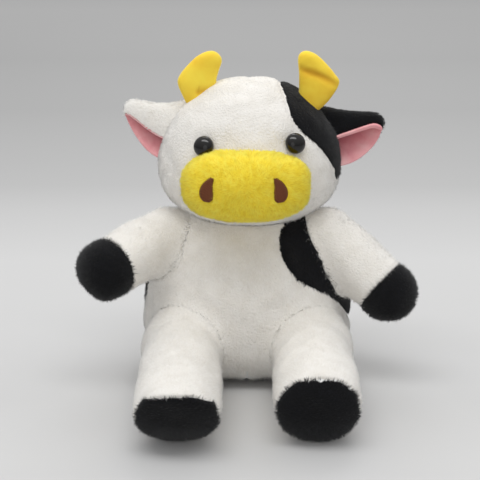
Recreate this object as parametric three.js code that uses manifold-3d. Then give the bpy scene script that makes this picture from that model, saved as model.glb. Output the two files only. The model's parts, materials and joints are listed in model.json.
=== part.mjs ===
// A seated plush cow, in millimetres, +Z up, facing -Y. Left and right are the viewer's.
// The origin is the middle of the seat, on the surface that the cow sits on.
import * as THREE from "three";
import { mergeVertices } from "three/addons/utils/BufferGeometryUtils.js";
import Module from "manifold-3d";

const wasm = await Module();
wasm.setup();

const rad = THREE.MathUtils.degToRad;

// Cloth, seams and clearances
const coverThickness = 2.4; // pile cloth with its knitted backing
const seamGap = 0.3; // between pieces that are sewn or packed together
const rootGap = 1.4; // between a limb's round root and the pocket it turns in
const limbGap = 1.6; // between a limb and the torso beside it
const headGap = 4; // between the head's underside and the shoulders
const overrun = 2; // how far a cutting shape runs past what it cuts
const weld = 0.0001; // vertices closer than this are one

// How finely the round forms are cut into faces
const formRings = 12;
const formSegments = 28;
const innerRings = 8;
const innerSegments = 14;
const muzzleRings = 10;
const muzzleSegments = 24;
const ballSegments = 18;
const smallSegments = 12;
const eyeSegments = 16;
const eyeRings = 4;
const armSegments = 22;
const legSegments = 24;
const limbSteps = { rootSteps: 6, tubeSteps: 4, endSteps: 5 };
const innerSteps = { rootSteps: 4, tubeSteps: 2, endSteps: 3 };
const earSteps = { rowSteps: 7, columnSteps: 10 };
const tailSteps = 6;
const tailSegments = 10;
const tuftRings = 8;

// Torso: an egg with a broad seat
const torsoHalfWidth = 63;
const torsoHalfDepth = 50;
const torsoWidestHeight = 32;
const torsoHeight = 112;
const seatSink = 0.5; // depth of the flat that the toy stands on
const torsoUpperPower = 2;
const torsoLowerPower = 5;
const pelletBagHalfWidth = 34;
const pelletBagHalfDepth = 24;
const pelletBagHeight = 18;
const pelletBagBack = 8;
const pelletBagLift = 1; // filling between the bag and the seat
const backPatchRadius = 30;
const backPatchDrop = 54; // below the torso's top
const backPatchHeight = torsoHeight - backPatchDrop;
const backPatchAngle = rad(30); // back from the left side

// Neck: a ball of stuffing between torso and head
const neckDrop = 19;
const neckHeight = torsoHeight - neckDrop;
const neckRadius = 20;

// Head: an egg with full cheeks
const headHalfWidth = 53.8;
const headHalfDepth = 45;
const headRise = 15;
const headWidestHeight = torsoHeight + headRise;
const headCrownHeight = 54;
const headChinDepth = 35;
const headForward = 3;
const headSideways = 1.2;
const headUpperPower = 1.95;
const headLowerPower = 2.5;

// Muzzle: a soft flattened egg on the face
const muzzleHalfWidth = 36.8;
const muzzleHalfHeight = 20;
const muzzleHalfDepth = 21;
const muzzleDrop = 1;
const muzzleHeight = headWidestHeight - muzzleDrop;
const muzzleSideways = -2.1;
const muzzleForward = 47;
const muzzlePower = 2.6;
const nostrilSpacing = 41.5;
const nostrilRise = 1.5;
const nostrilWidth = 7.4;
const nostrilHeight = 13.4;
const nostrilThickness = 0.9;

// Safety eyes
const eyeSpacing = 51.2;
const eyeRise = 20;
const eyeHeight = headWidestHeight + eyeRise;
const eyeSkew = 0.8; // the right eye sits this much higher, the left this much lower
const eyeRadius = 6;
const eyeDomeHeight = 4.6;
const eyeFlange = 1.2;
const shankRadius = 1.6;
const shankLength = 12;
const shankHoleClearance = 0.4;
const washerRadius = 6.5;
const washerThickness = 1.5;
const washerSetback = 2.4; // the filling that it presses on

// Horns: flat stuffed crescents
const hornWidth = 18.5;
const hornHeight = 24.5;
const hornThickness = 8;
const hornBevel = 2.6;
const hornForward = 2;
const hornAngles = { left: rad(32), right: rad(40.5) };
const hornLifts = { left: -1.5, right: 5 }; // out of the head
const hornLeans = { left: rad(7), right: rad(5) };

// Ears: leaves folded over at the top, pile outside and lining inside
const earLengths = { left: 38, right: 43 };
const earBackDrop = 33;
const earFrontDrops = { left: 25, right: 29 };
const earFlapPowers = { left: 0.55, right: 1.2 };
const earFoldRadius = 4.6;
const earFoldBend = rad(162); // how far the cloth bends over at the fold
const earFoldShares = { start: 0.3, end: 0.7 }; // the fold's place in the way round the ear
const earLeafPower = 3; // keeps the leaf broad along most of its length
const earTipPower = 0.65;
const earPileThickness = 2.2;
const earLiningThickness = 1.4;
const earRootGap = 1.4;
const earRootSink = 4;
const earBack = 7;
const earAngles = { left: rad(48), right: rad(52) };
const earRises = { left: rad(0), right: rad(-8) };

// Arms
const shoulderDrop = 27;
const shoulderHeight = torsoHeight - shoulderDrop;
const shoulderForward = rad(14); // round the torso from its side
const shoulderOut = 2.5;
const armRootRadius = 16.8;
const armSwing = rad(20);
const armSwell = 1.8;
const armLength = 66;
const armEndRadius = 16.6;
const armEndRound = 16;
const armEndPower = 2;
const wristPlace = 45;
const armTurns = { left: rad(42), right: rad(59) };
const armDrops = { left: rad(11), right: rad(35) };

// Legs
const hipSpacing = 76;
const legRootRadius = 25;
const legSwing = rad(26);
const legSwell = 0.6;
const legLengths = { left: 99, right: 92 };
const legEndRadius = 24.3;
const legEndRound = 7;
const legEndPower = 2.6;
const soleInset = 3; // the sole is this much narrower than the leg's root
const soleRadius = legRootRadius - soleInset;
const soleSquashShares = { left: 0.86, right: 0.94 }; // how tall the foot stays at its end
const soleTilts = { left: rad(34), right: rad(16) };

// Tail
const tailHeight = 46;
const tailRootRadius = 5.4;
const tailRadius = 4.2;
const tailBack = 16;
const tailDrop = 20;
const tailSideways = 4;
const tuftLength = 22;
const tuftRadius = 7.2;
const tuftLowPower = 0.8; // under 1 sets the tuft's fullest part low
const tuftFullPower = 0.75; // under 1 makes the tuft blunt

const sides = [
  { name: "left", sign: -1 },
  { name: "right", sign: 1 },
];

const white = { color: "#f1efe9", roughness: 0.95, metalness: 0 };
const black = { color: "#17181c", roughness: 0.95, metalness: 0 };
const yellow = { color: "#f2dc4e", roughness: 0.9, metalness: 0 };
const pink = { color: "#e2a3a5", roughness: 0.9, metalness: 0 };
const brown = { color: "#6e4129", roughness: 0.8, metalness: 0 };
const glossy = { color: "#1b1715", roughness: 0.1, metalness: 0 };
const fibre = { color: "#f4f4f1", roughness: 1, metalness: 0 };
const linen = { color: "#cfc7b6", roughness: 0.9, metalness: 0 };
const nylon = { color: "#e6e6e4", roughness: 0.5, metalness: 0 };

// Solids

function solidOf(geometry) {
  const bare = geometry.clone();
  bare.deleteAttribute("normal");
  bare.deleteAttribute("uv");
  const merged = mergeVertices(bare, weld);
  const corners = merged.index.array;
  const kept = [];
  for (let i = 0; i < corners.length; i += 3) {
    const [a, b, c] = [corners[i], corners[i + 1], corners[i + 2]];
    if (a !== b && b !== c && c !== a) kept.push(a, b, c);
  }
  const mesh = new wasm.Mesh({
    numProp: 3,
    vertProperties: merged.attributes.position.array,
    triVerts: new Uint32Array(kept),
  });
  return new wasm.Manifold(mesh);
}

function geometryOf(solid) {
  const mesh = solid.getMesh();
  const geometry = new THREE.BufferGeometry();
  geometry.setAttribute("position", new THREE.BufferAttribute(mesh.vertProperties, 3));
  geometry.setIndex(new THREE.BufferAttribute(mesh.triVerts, 1));
  geometry.computeVertexNormals();
  return geometry;
}

function placed(geometry, matrix) {
  return geometry.clone().applyMatrix4(matrix);
}

function ball(radius, centre, segments = ballSegments) {
  const geometry = new THREE.SphereGeometry(radius, segments, segments / 2);
  return solidOf(geometry.translate(centre.x, centre.y, centre.z));
}

// A box that fills everything on one side of a plane across the local Z axis.
function slab(from, to, reach) {
  const geometry = new THREE.BoxGeometry(2 * reach, 2 * reach, to - from);
  return solidOf(geometry.translate(0, 0, (from + to) / 2));
}

// A solid turned round the Z axis from a profile of [radius, height] points, bottom to top.
function turned(profile, segments) {
  const points = profile.map(([radius, height]) => new THREE.Vector2(Math.max(radius, 0), height));
  return new THREE.LatheGeometry(points, segments).rotateX(Math.PI / 2);
}

// A sine or cosine bent towards a square corner as the power grows past 2.
function superShare(part, power) {
  return Math.abs(part) < weld ? 0 : Math.abs(part) ** (2 / power);
}

// Eggs: the body forms

const torsoEgg = {
  halfWidth: torsoHalfWidth,
  halfDepth: torsoHalfDepth,
  widest: torsoWidestHeight,
  upper: torsoHeight - torsoWidestHeight,
  lower: torsoWidestHeight + seatSink,
  upperPower: torsoUpperPower,
  lowerPower: torsoLowerPower,
  centre: new THREE.Vector3(0, 0, 0),
};

const headEgg = {
  halfWidth: headHalfWidth,
  halfDepth: headHalfDepth,
  widest: headWidestHeight,
  upper: headCrownHeight,
  lower: headChinDepth,
  upperPower: headUpperPower,
  lowerPower: headLowerPower,
  centre: new THREE.Vector3(headSideways, -headForward, 0),
};

function eggGeometry(egg, grow, rings, segments) {
  const profile = [];
  for (let i = 0; i <= rings; i++) {
    const angle = (i / rings - 1 / 2) * Math.PI;
    const above = angle >= 0;
    const power = above ? egg.upperPower : egg.lowerPower;
    const reach = above ? egg.upper + grow : -(egg.lower + grow);
    const radius = (egg.halfWidth + grow) * superShare(Math.cos(angle), power);
    profile.push([radius, egg.widest + reach * superShare(Math.sin(angle), power)]);
  }
  const geometry = turned(profile, segments);
  geometry.scale(1, (egg.halfDepth + grow) / (egg.halfWidth + grow), 1);
  return geometry.translate(egg.centre.x, egg.centre.y, egg.centre.z);
}

function eggSolid(egg, grow, rings, segments) {
  return solidOf(eggGeometry(egg, grow, rings, segments));
}

// How wide the egg is at a height, as a share of its widest.
function eggShareAt(egg, height) {
  const above = height >= egg.widest;
  const power = above ? egg.upperPower : egg.lowerPower;
  const share = Math.min(Math.abs(height - egg.widest) / (above ? egg.upper : egg.lower), 1);
  return (1 - share ** power) ** (1 / power);
}

// The egg's front surface at a place across it and a height.
function eggFront(egg, across, height) {
  const share = eggShareAt(egg, height);
  const side = Math.min(Math.abs(across) / (egg.halfWidth * share), 1);
  return new THREE.Vector3(
    egg.centre.x + across,
    egg.centre.y - egg.halfDepth * share * Math.sqrt(1 - side * side),
    height,
  );
}

// The egg's outward direction at a point of its surface, from the slope of its own formula.
function eggNormal(egg, point) {
  const above = point.z >= egg.widest;
  const power = above ? egg.upperPower : egg.lowerPower;
  const reach = above ? egg.upper : egg.lower;
  const across = (point.x - egg.centre.x) / egg.halfWidth;
  const along = (point.y - egg.centre.y) / egg.halfDepth;
  const radius = Math.hypot(across, along);
  const rise = (point.z - egg.widest) / reach;
  return new THREE.Vector3(
    (across / radius / egg.halfWidth) * radius ** (power - 1),
    (along / radius / egg.halfDepth) * radius ** (power - 1),
    (Math.sign(rise) * Math.abs(rise) ** (power - 1)) / reach,
  ).normalize();
}

// A panel outline in front view, pushed through the body from front to back.
// Its points are shares of the egg's half width and of its height above the widest ring.
function panelPrism(egg, outlineShares, backShare, grow) {
  const points = outlineShares.map(
    ([across, rise]) =>
      new THREE.Vector2(egg.centre.x + across * egg.halfWidth, egg.widest + rise * egg.upper),
  );
  const middle = points.reduce((sum, point) => sum.add(point), new THREE.Vector2());
  middle.divideScalar(points.length);
  const grown = points.map((point) => {
    const outward = point.clone().sub(middle).normalize();
    return point.clone().add(outward.multiplyScalar(grow));
  });
  const front = egg.halfDepth + overrun;
  const depth = front + egg.halfDepth * backShare + grow;
  const geometry = new THREE.ExtrudeGeometry(new THREE.Shape(grown), { depth, bevelEnabled: false });
  geometry.rotateX(Math.PI / 2); // the outline stands up in X and Z, and runs along -Y
  return solidOf(geometry.translate(0, egg.centre.y - front + depth, 0));
}

// Limbs: a round root that turns in the torso, a tube that swells a little, and an end

function limbProfile(limb, grow, steps) {
  const root = limb.rootRadius + grow;
  const waist = limb.waistRadius + grow;
  const end = limb.endRadius + grow;
  const round = limb.endRound + grow;
  const leaving = Math.asin(waist / root);
  const profile = [];
  for (let i = 0; i <= steps.rootSteps; i++) {
    const angle = Math.PI - ((Math.PI - leaving) * i) / steps.rootSteps;
    profile.push([root * Math.sin(angle), root * Math.cos(angle)]);
  }
  const tubeStart = root * Math.cos(leaving);
  const tubeEnd = limb.length - limb.endRound;
  for (let i = 1; i <= steps.tubeSteps; i++) {
    const share = i / steps.tubeSteps;
    const swell = limb.swell * Math.sin(Math.PI * share);
    profile.push([waist + (end - waist) * share + swell, tubeStart + (tubeEnd - tubeStart) * share]);
  }
  for (let i = 1; i <= steps.endSteps; i++) {
    const angle = ((i / steps.endSteps) * Math.PI) / 2;
    const radius = end * superShare(Math.cos(angle), limb.endPower);
    profile.push([radius, tubeEnd + round * superShare(Math.sin(angle), limb.endPower)]);
  }
  return profile;
}

// Towards its end the limb sinks to the floor under it, and its end leans forward at the top.
function leanEnd(geometry, limb) {
  const position = geometry.attributes.position;
  for (let i = 0; i < position.count; i++) {
    const along = Math.min(Math.max(position.getZ(i) / (limb.length - limb.endRound), 0), 1);
    const shift = position.getY(i) * Math.tan(limb.tilt) * along * along;
    const squash = 1 - (1 - limb.squashShare) * along * along;
    position.setZ(i, position.getZ(i) + shift);
    position.setY(i, (position.getY(i) + limb.rootRadius) * squash - limb.rootRadius);
  }
  return geometry;
}

function limbSolid(limb, grow, segments, steps) {
  const geometry = turned(limbProfile(limb, grow, steps), segments);
  return solidOf(leanEnd(geometry, limb));
}

function limbTool(limb, radius, from, to) {
  const geometry = new THREE.CylinderGeometry(radius, radius, to - from, legSegments);
  geometry.rotateX(Math.PI / 2).translate(0, 0, (from + to) / 2);
  return solidOf(leanEnd(geometry, limb));
}

function meshOf(name, solid, finish) {
  const mesh = new THREE.Mesh(geometryOf(solid), new THREE.MeshStandardMaterial(finish));
  mesh.name = name;
  return mesh;
}

// Places that pieces share

const neckCentre = new THREE.Vector3(0, 0, neckHeight);

function shoulderCentre(side) {
  const share = eggShareAt(torsoEgg, shoulderHeight);
  return new THREE.Vector3(
    side.sign * (torsoHalfWidth * share + shoulderOut) * Math.cos(shoulderForward),
    -(torsoHalfDepth * share + shoulderOut) * Math.sin(shoulderForward),
    shoulderHeight,
  );
}

function hipCentre(side) {
  const height = legRootRadius - seatSink;
  const front = eggFront(torsoEgg, hipSpacing / 2, height);
  return new THREE.Vector3((side.sign * hipSpacing) / 2, front.y, height);
}

const tailCentre = new THREE.Vector3(0, -eggFront(torsoEgg, 0, tailHeight).y, tailHeight);

function pockets(gap) {
  const cuts = [ball(neckRadius + gap, neckCentre)];
  for (const side of sides) {
    cuts.push(ball(armRootRadius + gap, shoulderCentre(side)));
    cuts.push(ball(legRootRadius + gap, hipCentre(side)));
  }
  cuts.push(ball(tailRootRadius + gap, tailCentre, smallSegments));
  return cuts.reduce((all, cut) => all.add(cut));
}

const floor = slab(-torsoHeight, 0, torsoHeight);
const shoulderClearing = eggSolid(headEgg, headGap, formRings, formSegments);

// Torso

const sidePatchShares = [
  [0.5, 0.88], [0.38, 0.83], [0.31, 0.75], [0.31, 0.65], [0.37, 0.54], [0.5, 0.42],
  [0.66, 0.34], [0.82, 0.26], [0.92, 0.14], [0.99, 0.03], [1.06, -0.08],
  [1.3, -0.08], [1.3, 1], [0.8, 1.05],
];
const sidePatchBackShare = 0.5;

function backPatchBall(grow) {
  const centre = new THREE.Vector3(
    -torsoHalfWidth * Math.cos(backPatchAngle),
    torsoHalfDepth * Math.sin(backPatchAngle),
    backPatchHeight,
  );
  return ball(backPatchRadius + grow, centre);
}

function makeTorso() {
  const outer = eggSolid(torsoEgg, 0, formRings, formSegments).subtract(floor);
  const inner = eggSolid(torsoEgg, -coverThickness, innerRings, innerSegments);
  const cuts = pockets(rootGap).add(shoulderClearing);
  const shell = outer.subtract(inner).subtract(cuts);
  const sidePatch = panelPrism(torsoEgg, sidePatchShares, sidePatchBackShare, 0);
  const sideHole = panelPrism(torsoEgg, sidePatchShares, sidePatchBackShare, seamGap);
  const bag = {
    ...torsoEgg,
    halfWidth: pelletBagHalfWidth,
    halfDepth: pelletBagHalfDepth,
    widest: pelletBagHeight / 2,
    upper: pelletBagHeight / 2,
    lower: pelletBagHeight,
    lowerPower: torsoUpperPower,
    centre: new THREE.Vector3(0, pelletBagBack, 0),
  };
  const bagFloor = slab(-torsoHeight, coverThickness + pelletBagLift, torsoHeight);
  const core = eggSolid(torsoEgg, -coverThickness - seamGap, innerRings, innerSegments);
  const hollow = eggSolid(bag, seamGap, innerRings, innerSegments);
  const filling = core.subtract(cuts).subtract(hollow);
  const pellets = eggSolid(bag, 0, innerRings, innerSegments).subtract(bagFloor).subtract(cuts);
  return [
    meshOf("torso_cover", shell.subtract(sideHole).subtract(backPatchBall(seamGap)), white),
    meshOf("torso_side_patch", shell.intersect(sidePatch), black),
    meshOf("torso_back_patch", shell.intersect(backPatchBall(0)), black),
    meshOf("torso_stuffing", filling, fibre),
    meshOf("seat_pellet_bag", pellets, linen),
    meshOf("neck_stuffing", ball(neckRadius, neckCentre), fibre),
  ];
}

// Head

const headPatchShares = [
  [0.38, 1.1], [0.4, 0.82], [0.46, 0.64], [0.56, 0.5], [0.67, 0.4], [0.77, 0.3],
  [0.86, 0.17], [0.94, 0.02], [1, -0.12], [1.4, -0.12], [1.4, 1.2],
];
const headPatchBackShare = 0.45;

const muzzleEgg = {
  halfWidth: muzzleHalfWidth,
  halfDepth: muzzleHalfDepth,
  widest: muzzleHeight,
  upper: muzzleHalfHeight,
  lower: muzzleHalfHeight,
  upperPower: muzzlePower,
  lowerPower: muzzlePower,
  centre: new THREE.Vector3(headSideways + muzzleSideways, -muzzleForward, 0),
};

const neckHole = ball(neckRadius + rootGap, neckCentre);

// The eye's own frame: its Z axis points out of the face.
function eyeFrame(side) {
  const point = eggFront(headEgg, (side.sign * eyeSpacing) / 2, eyeHeight + side.sign * eyeSkew);
  const outward = eggNormal(headEgg, point);
  const turn = new THREE.Quaternion().setFromUnitVectors(new THREE.Vector3(0, 0, 1), outward);
  return new THREE.Matrix4().compose(point, turn, new THREE.Vector3(1, 1, 1));
}

function eyeTool(side, radius, from, to) {
  const geometry = new THREE.CylinderGeometry(radius, radius, to - from, eyeSegments);
  geometry.rotateX(Math.PI / 2).translate(0, 0, (from + to) / 2);
  return solidOf(placed(geometry, eyeFrame(side)));
}

function makeHead() {
  const outer = eggSolid(headEgg, 0, formRings, formSegments);
  const inner = eggSolid(headEgg, -coverThickness, innerRings, innerSegments);
  const core = eggSolid(headEgg, -coverThickness - seamGap, innerRings, innerSegments);
  const patch = panelPrism(headEgg, headPatchShares, headPatchBackShare, 0);
  const patchHole = panelPrism(headEgg, headPatchShares, headPatchBackShare, seamGap);
  let shell = outer.subtract(inner).subtract(neckHole);
  let filling = core.subtract(neckHole);
  for (const side of sides) {
    const shank = shankRadius + shankHoleClearance;
    shell = shell.subtract(eyeTool(side, shank, -shankLength, overrun));
    filling = filling.subtract(
      eyeTool(side, washerRadius + seamGap, -shankLength - seamGap, overrun),
    );
  }
  return [
    meshOf("head_cover", shell.subtract(patchHole), white),
    meshOf("head_patch", shell.intersect(patch), black),
    meshOf("head_stuffing", filling, fibre),
  ];
}

function makeMuzzle() {
  const face = eggSolid(headEgg, seamGap, formRings, formSegments);
  const outer = eggSolid(muzzleEgg, 0, muzzleRings, muzzleSegments);
  const inner = eggSolid(muzzleEgg, -coverThickness, innerRings, innerSegments);
  const core = eggSolid(muzzleEgg, -coverThickness - seamGap, innerRings, innerSegments);
  let shell = outer.subtract(inner).subtract(face);
  for (const side of sides) {
    shell = shell.subtract(eyeTool(side, eyeRadius + seamGap, 0, muzzleHalfDepth));
  }
  let filling = core.subtract(face);
  for (const side of sides) {
    filling = filling.subtract(eyeTool(side, eyeRadius + seamGap, 0, muzzleHalfDepth));
  }
  return [meshOf("muzzle_cover", shell, yellow), meshOf("muzzle_stuffing", filling, fibre)];
}

// A drop with a straight inner edge, in shares of the nostril's width and height.
const nostrilShares = [
  [-0.4, 0.5], [0.05, 0.28], [0.38, 0], [0.5, -0.2], [0.4, -0.4],
  [0.1, -0.5], [-0.25, -0.47], [-0.45, -0.3], [-0.5, 0], [-0.47, 0.3],
];

function makeNostril(side) {
  const points = nostrilShares.map(
    ([across, rise]) => new THREE.Vector2(side.sign * across * nostrilWidth, rise * nostrilHeight),
  );
  const depth = muzzleHalfDepth + overrun;
  const geometry = new THREE.ExtrudeGeometry(new THREE.Shape(points), {
    depth,
    bevelEnabled: false,
  });
  geometry.rotateX(Math.PI / 2);
  geometry.translate(
    muzzleEgg.centre.x + (side.sign * nostrilSpacing) / 2,
    muzzleEgg.centre.y,
    muzzleHeight + nostrilRise,
  );
  const under = eggSolid(muzzleEgg, seamGap, muzzleRings, muzzleSegments);
  const over = eggSolid(muzzleEgg, seamGap + nostrilThickness, muzzleRings, muzzleSegments);
  const patch = over.subtract(under).intersect(solidOf(geometry));
  return meshOf(`nostril_${side.name}`, patch, brown);
}

function makeEye(side) {
  const profile = [
    [0, -shankLength],
    [shankRadius, -shankLength],
    [shankRadius, seamGap],
    [eyeRadius, seamGap],
  ];
  for (let i = 0; i <= eyeRings; i++) {
    const angle = ((i / eyeRings) * Math.PI) / 2;
    const rise = (eyeDomeHeight - eyeFlange) * Math.sin(angle);
    profile.push([eyeRadius * Math.cos(angle), seamGap + eyeFlange + rise]);
  }
  const eye = meshOf(`eye_${side.name}`, solidOf(turned(profile, eyeSegments)), glossy);
  eye.applyMatrix4(eyeFrame(side));
  return eye;
}

function makeWasher(side) {
  const top = -coverThickness - washerSetback;
  const bore = shankRadius + seamGap;
  const profile = [
    [bore, top - washerThickness],
    [washerRadius, top - washerThickness],
    [washerRadius, top],
    [bore, top],
    [bore, top - washerThickness],
  ];
  const washer = meshOf(`eye_washer_${side.name}`, solidOf(turned(profile, eyeSegments)), nylon);
  washer.applyMatrix4(eyeFrame(side));
  return washer;
}

// A point of the head's side outline, at an angle from straight up.
function headRim(side, angle) {
  const [across, rise] = [Math.sin(angle), Math.cos(angle)];
  const share =
    (across / headHalfWidth) ** headUpperPower + (rise / headCrownHeight) ** headUpperPower;
  const reach = 1 / share ** (1 / headUpperPower);
  return new THREE.Vector3(
    headSideways + side.sign * across * reach,
    -headForward,
    headWidestHeight + rise * reach,
  );
}

// The horn's outline from its outer root round its corner and tip, in shares of its width and height.
const hornShares = [
  [0.4, -0.6], [0.85, 0.17], [0.67, 0.4], [0.47, 0.62], [0.25, 0.83], [0.06, 0.96],
  [-0.17, 1.02], [-0.38, 0.96], [-0.45, 0.82], [-0.44, 0.48], [-0.48, 0.16], [-0.54, -0.4],
];

function makeHorn(side) {
  const points = hornShares.map(
    ([across, rise]) => new THREE.Vector2(side.sign * across * hornWidth, rise * hornHeight),
  );
  const depth = hornThickness - 2 * hornBevel;
  const geometry = new THREE.ExtrudeGeometry(new THREE.Shape(points), {
    depth,
    bevelThickness: hornBevel,
    bevelSize: hornBevel,
    bevelOffset: -hornBevel,
    bevelSegments: 2,
  });
  geometry.rotateX(Math.PI / 2).translate(0, depth / 2 - hornForward, 0);
  geometry.rotateY(-side.sign * hornLeans[side.name]);
  const [angle, lift] = [hornAngles[side.name], hornLifts[side.name]];
  const outward = new THREE.Vector3(side.sign * Math.sin(angle), 0, Math.cos(angle));
  const root = headRim(side, angle).addScaledVector(outward, lift);
  geometry.translate(root.x, root.y, root.z);
  const head = eggSolid(headEgg, seamGap, formRings, formSegments);
  return meshOf(`horn_${side.name}`, solidOf(geometry).subtract(head), yellow);
}

// The ear's fold: up the back flap, over the top and down the front flap.
function earPoint(side, along, around) {
  const { start, end } = earFoldShares;
  const fullness = (1 - along ** earLeafPower) ** earTipPower;
  const radius = earFoldRadius * (1 - along / 2);
  const back = Math.max(earBackDrop * fullness - radius, radius);
  const narrowed = earFrontDrops[side.name] * (1 - along) ** earFlapPowers[side.name];
  const before = back * Math.min(around / start - 1, 0);
  const turned = Math.min(Math.max((around - start) / (end - start), 0), 1);
  const after = Math.max(narrowed, radius) * Math.max((around - end) / (1 - end), 0);
  const turn = earFoldBend * turned;
  return new THREE.Vector3(
    side.sign * along * earLengths[side.name],
    radius * Math.cos(turn) - after * Math.sin(turn),
    radius * Math.sin(turn) + before + after * Math.cos(turn) - radius,
  );
}

function earFrame(side) {
  const root = headRim(side, earAngles[side.name]);
  const inward = new THREE.Vector3(-side.sign * earRootSink, earBack, 0);
  const turn = new THREE.Quaternion().setFromEuler(
    new THREE.Euler(0, -side.sign * earRises[side.name], 0),
  );
  return new THREE.Matrix4().compose(root.add(inward), turn, new THREE.Vector3(1, 1, 1));
}

const slopeStepShare = 0.001; // of the way round a sheet, for measuring its slope

// A sheet with two faces that bends round the X axis, from one offset to another outward of its curve.
function sheetGeometry(pointAt, steps, from, to, outward) {
  const [stepsAlong, stepsAround] = [steps.rowSteps, steps.columnSteps];
  const places = [];
  const faces = [];
  const lengthwise = new THREE.Vector3(-1, 0, 0);
  for (const offset of [from, to]) {
    for (let i = 0; i <= stepsAlong; i++) {
      for (let j = 0; j <= stepsAround; j++) {
        const [along, around] = [i / stepsAlong, j / stepsAround];
        const before = Math.max(around - slopeStepShare, 0);
        const crosswise = pointAt(along, before + slopeStepShare).sub(pointAt(along, before));
        const normal = lengthwise.clone().cross(crosswise).normalize();
        places.push(...pointAt(along, around).addScaledVector(normal, offset).toArray());
      }
    }
  }
  const row = stepsAround + 1;
  const layer = row * (stepsAlong + 1);
  const quad = (a, b, c, d) => faces.push(...(outward > 0 ? [a, b, c, a, c, d] : [a, c, b, a, d, c]));
  for (let i = 0; i < stepsAlong; i++) {
    for (let j = 0; j < stepsAround; j++) {
      const corner = i * row + j;
      const [a, b, c, d] = [corner, corner + row, corner + row + 1, corner + 1];
      quad(layer + a, layer + b, layer + c, layer + d);
      quad(d, c, b, a);
    }
  }
  for (let i = 0; i < stepsAlong; i++) {
    const [low, high] = [i * row, i * row + stepsAround];
    quad(low, low + row, layer + low + row, layer + low);
    quad(high + row, high, layer + high, layer + high + row);
  }
  for (let j = 0; j < stepsAround; j++) {
    const [first, last] = [j, stepsAlong * row + j];
    quad(first + 1, first, layer + first, layer + first + 1);
    quad(last, last + 1, layer + last + 1, layer + last);
  }
  const geometry = new THREE.BufferGeometry();
  geometry.setAttribute("position", new THREE.Float32BufferAttribute(places, 3));
  return geometry.setIndex(faces);
}

function makeEar(side) {
  const head = eggSolid(headEgg, earRootGap, formRings, formSegments);
  const pointAt = (along, around) => earPoint(side, along, around);
  const pieces = [
    { name: "ear_outer", from: seamGap / 2, to: seamGap / 2 + earPileThickness },
    { name: "ear_lining", from: -seamGap / 2 - earLiningThickness, to: -seamGap / 2 },
  ];
  return pieces.map(({ name, from, to }) => {
    const geometry = sheetGeometry(pointAt, earSteps, from, to, -side.sign);
    const sheet = solidOf(placed(geometry, earFrame(side))).subtract(head);
    const finish = name === "ear_lining" ? pink : side.name === "left" ? white : black;
    return meshOf(`${name}_${side.name}`, sheet, finish);
  });
}

// Arms

function limbMatrix(centre, direction) {
  const turn = new THREE.Quaternion().setFromUnitVectors(new THREE.Vector3(0, 0, 1), direction);
  return new THREE.Matrix4().compose(centre, turn, new THREE.Vector3(1, 1, 1));
}

// The torso in a limb's own frame, less the pocket that the limb's root fills.
function torsoBeside(matrix, rootRadius) {
  const egg = eggGeometry(torsoEgg, limbGap, formRings, formSegments);
  const beside = solidOf(egg.applyMatrix4(matrix.clone().invert()));
  return beside.subtract(ball(rootRadius + seamGap, new THREE.Vector3()));
}

function placeLimb(pieces, matrix) {
  const limb = new THREE.Group();
  limb.add(...pieces);
  limb.applyMatrix4(matrix);
  return limb;
}

function armDirection(side) {
  const [turn, drop] = [armTurns[side.name], armDrops[side.name]];
  return new THREE.Vector3(
    side.sign * Math.sin(turn) * Math.cos(drop),
    -Math.cos(turn) * Math.cos(drop),
    -Math.sin(drop),
  );
}

function makeArm(side) {
  const arm = {
    rootRadius: armRootRadius,
    waistRadius: armRootRadius * Math.cos(armSwing),
    swell: armSwell,
    length: armLength,
    endRadius: armEndRadius,
    endRound: armEndRound,
    endPower: armEndPower,
    tilt: 0,
    squashShare: 1,
  };
  const torso = torsoBeside(limbMatrix(shoulderCentre(side), armDirection(side)), arm.rootRadius);
  const outer = limbSolid(arm, 0, armSegments, limbSteps).subtract(torso);
  const inner = limbSolid(arm, -coverThickness, innerSegments, innerSteps);
  const core = limbSolid(arm, -coverThickness - seamGap, innerSegments, innerSteps).subtract(torso);
  const mouth = -armRootRadius / 2;
  const shell = outer.subtract(inner);
  const sleeve = shell.intersect(slab(mouth, wristPlace - seamGap / 2, armLength));
  const paw = shell.intersect(slab(wristPlace + seamGap / 2, 2 * armLength, armLength));
  const pieces = [
    meshOf(`arm_cover_${side.name}`, sleeve, white),
    meshOf(`paw_cover_${side.name}`, paw, black),
    meshOf(`arm_stuffing_${side.name}`, core, fibre),
  ];
  return placeLimb(pieces, limbMatrix(shoulderCentre(side), armDirection(side)));
}

// Legs

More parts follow.
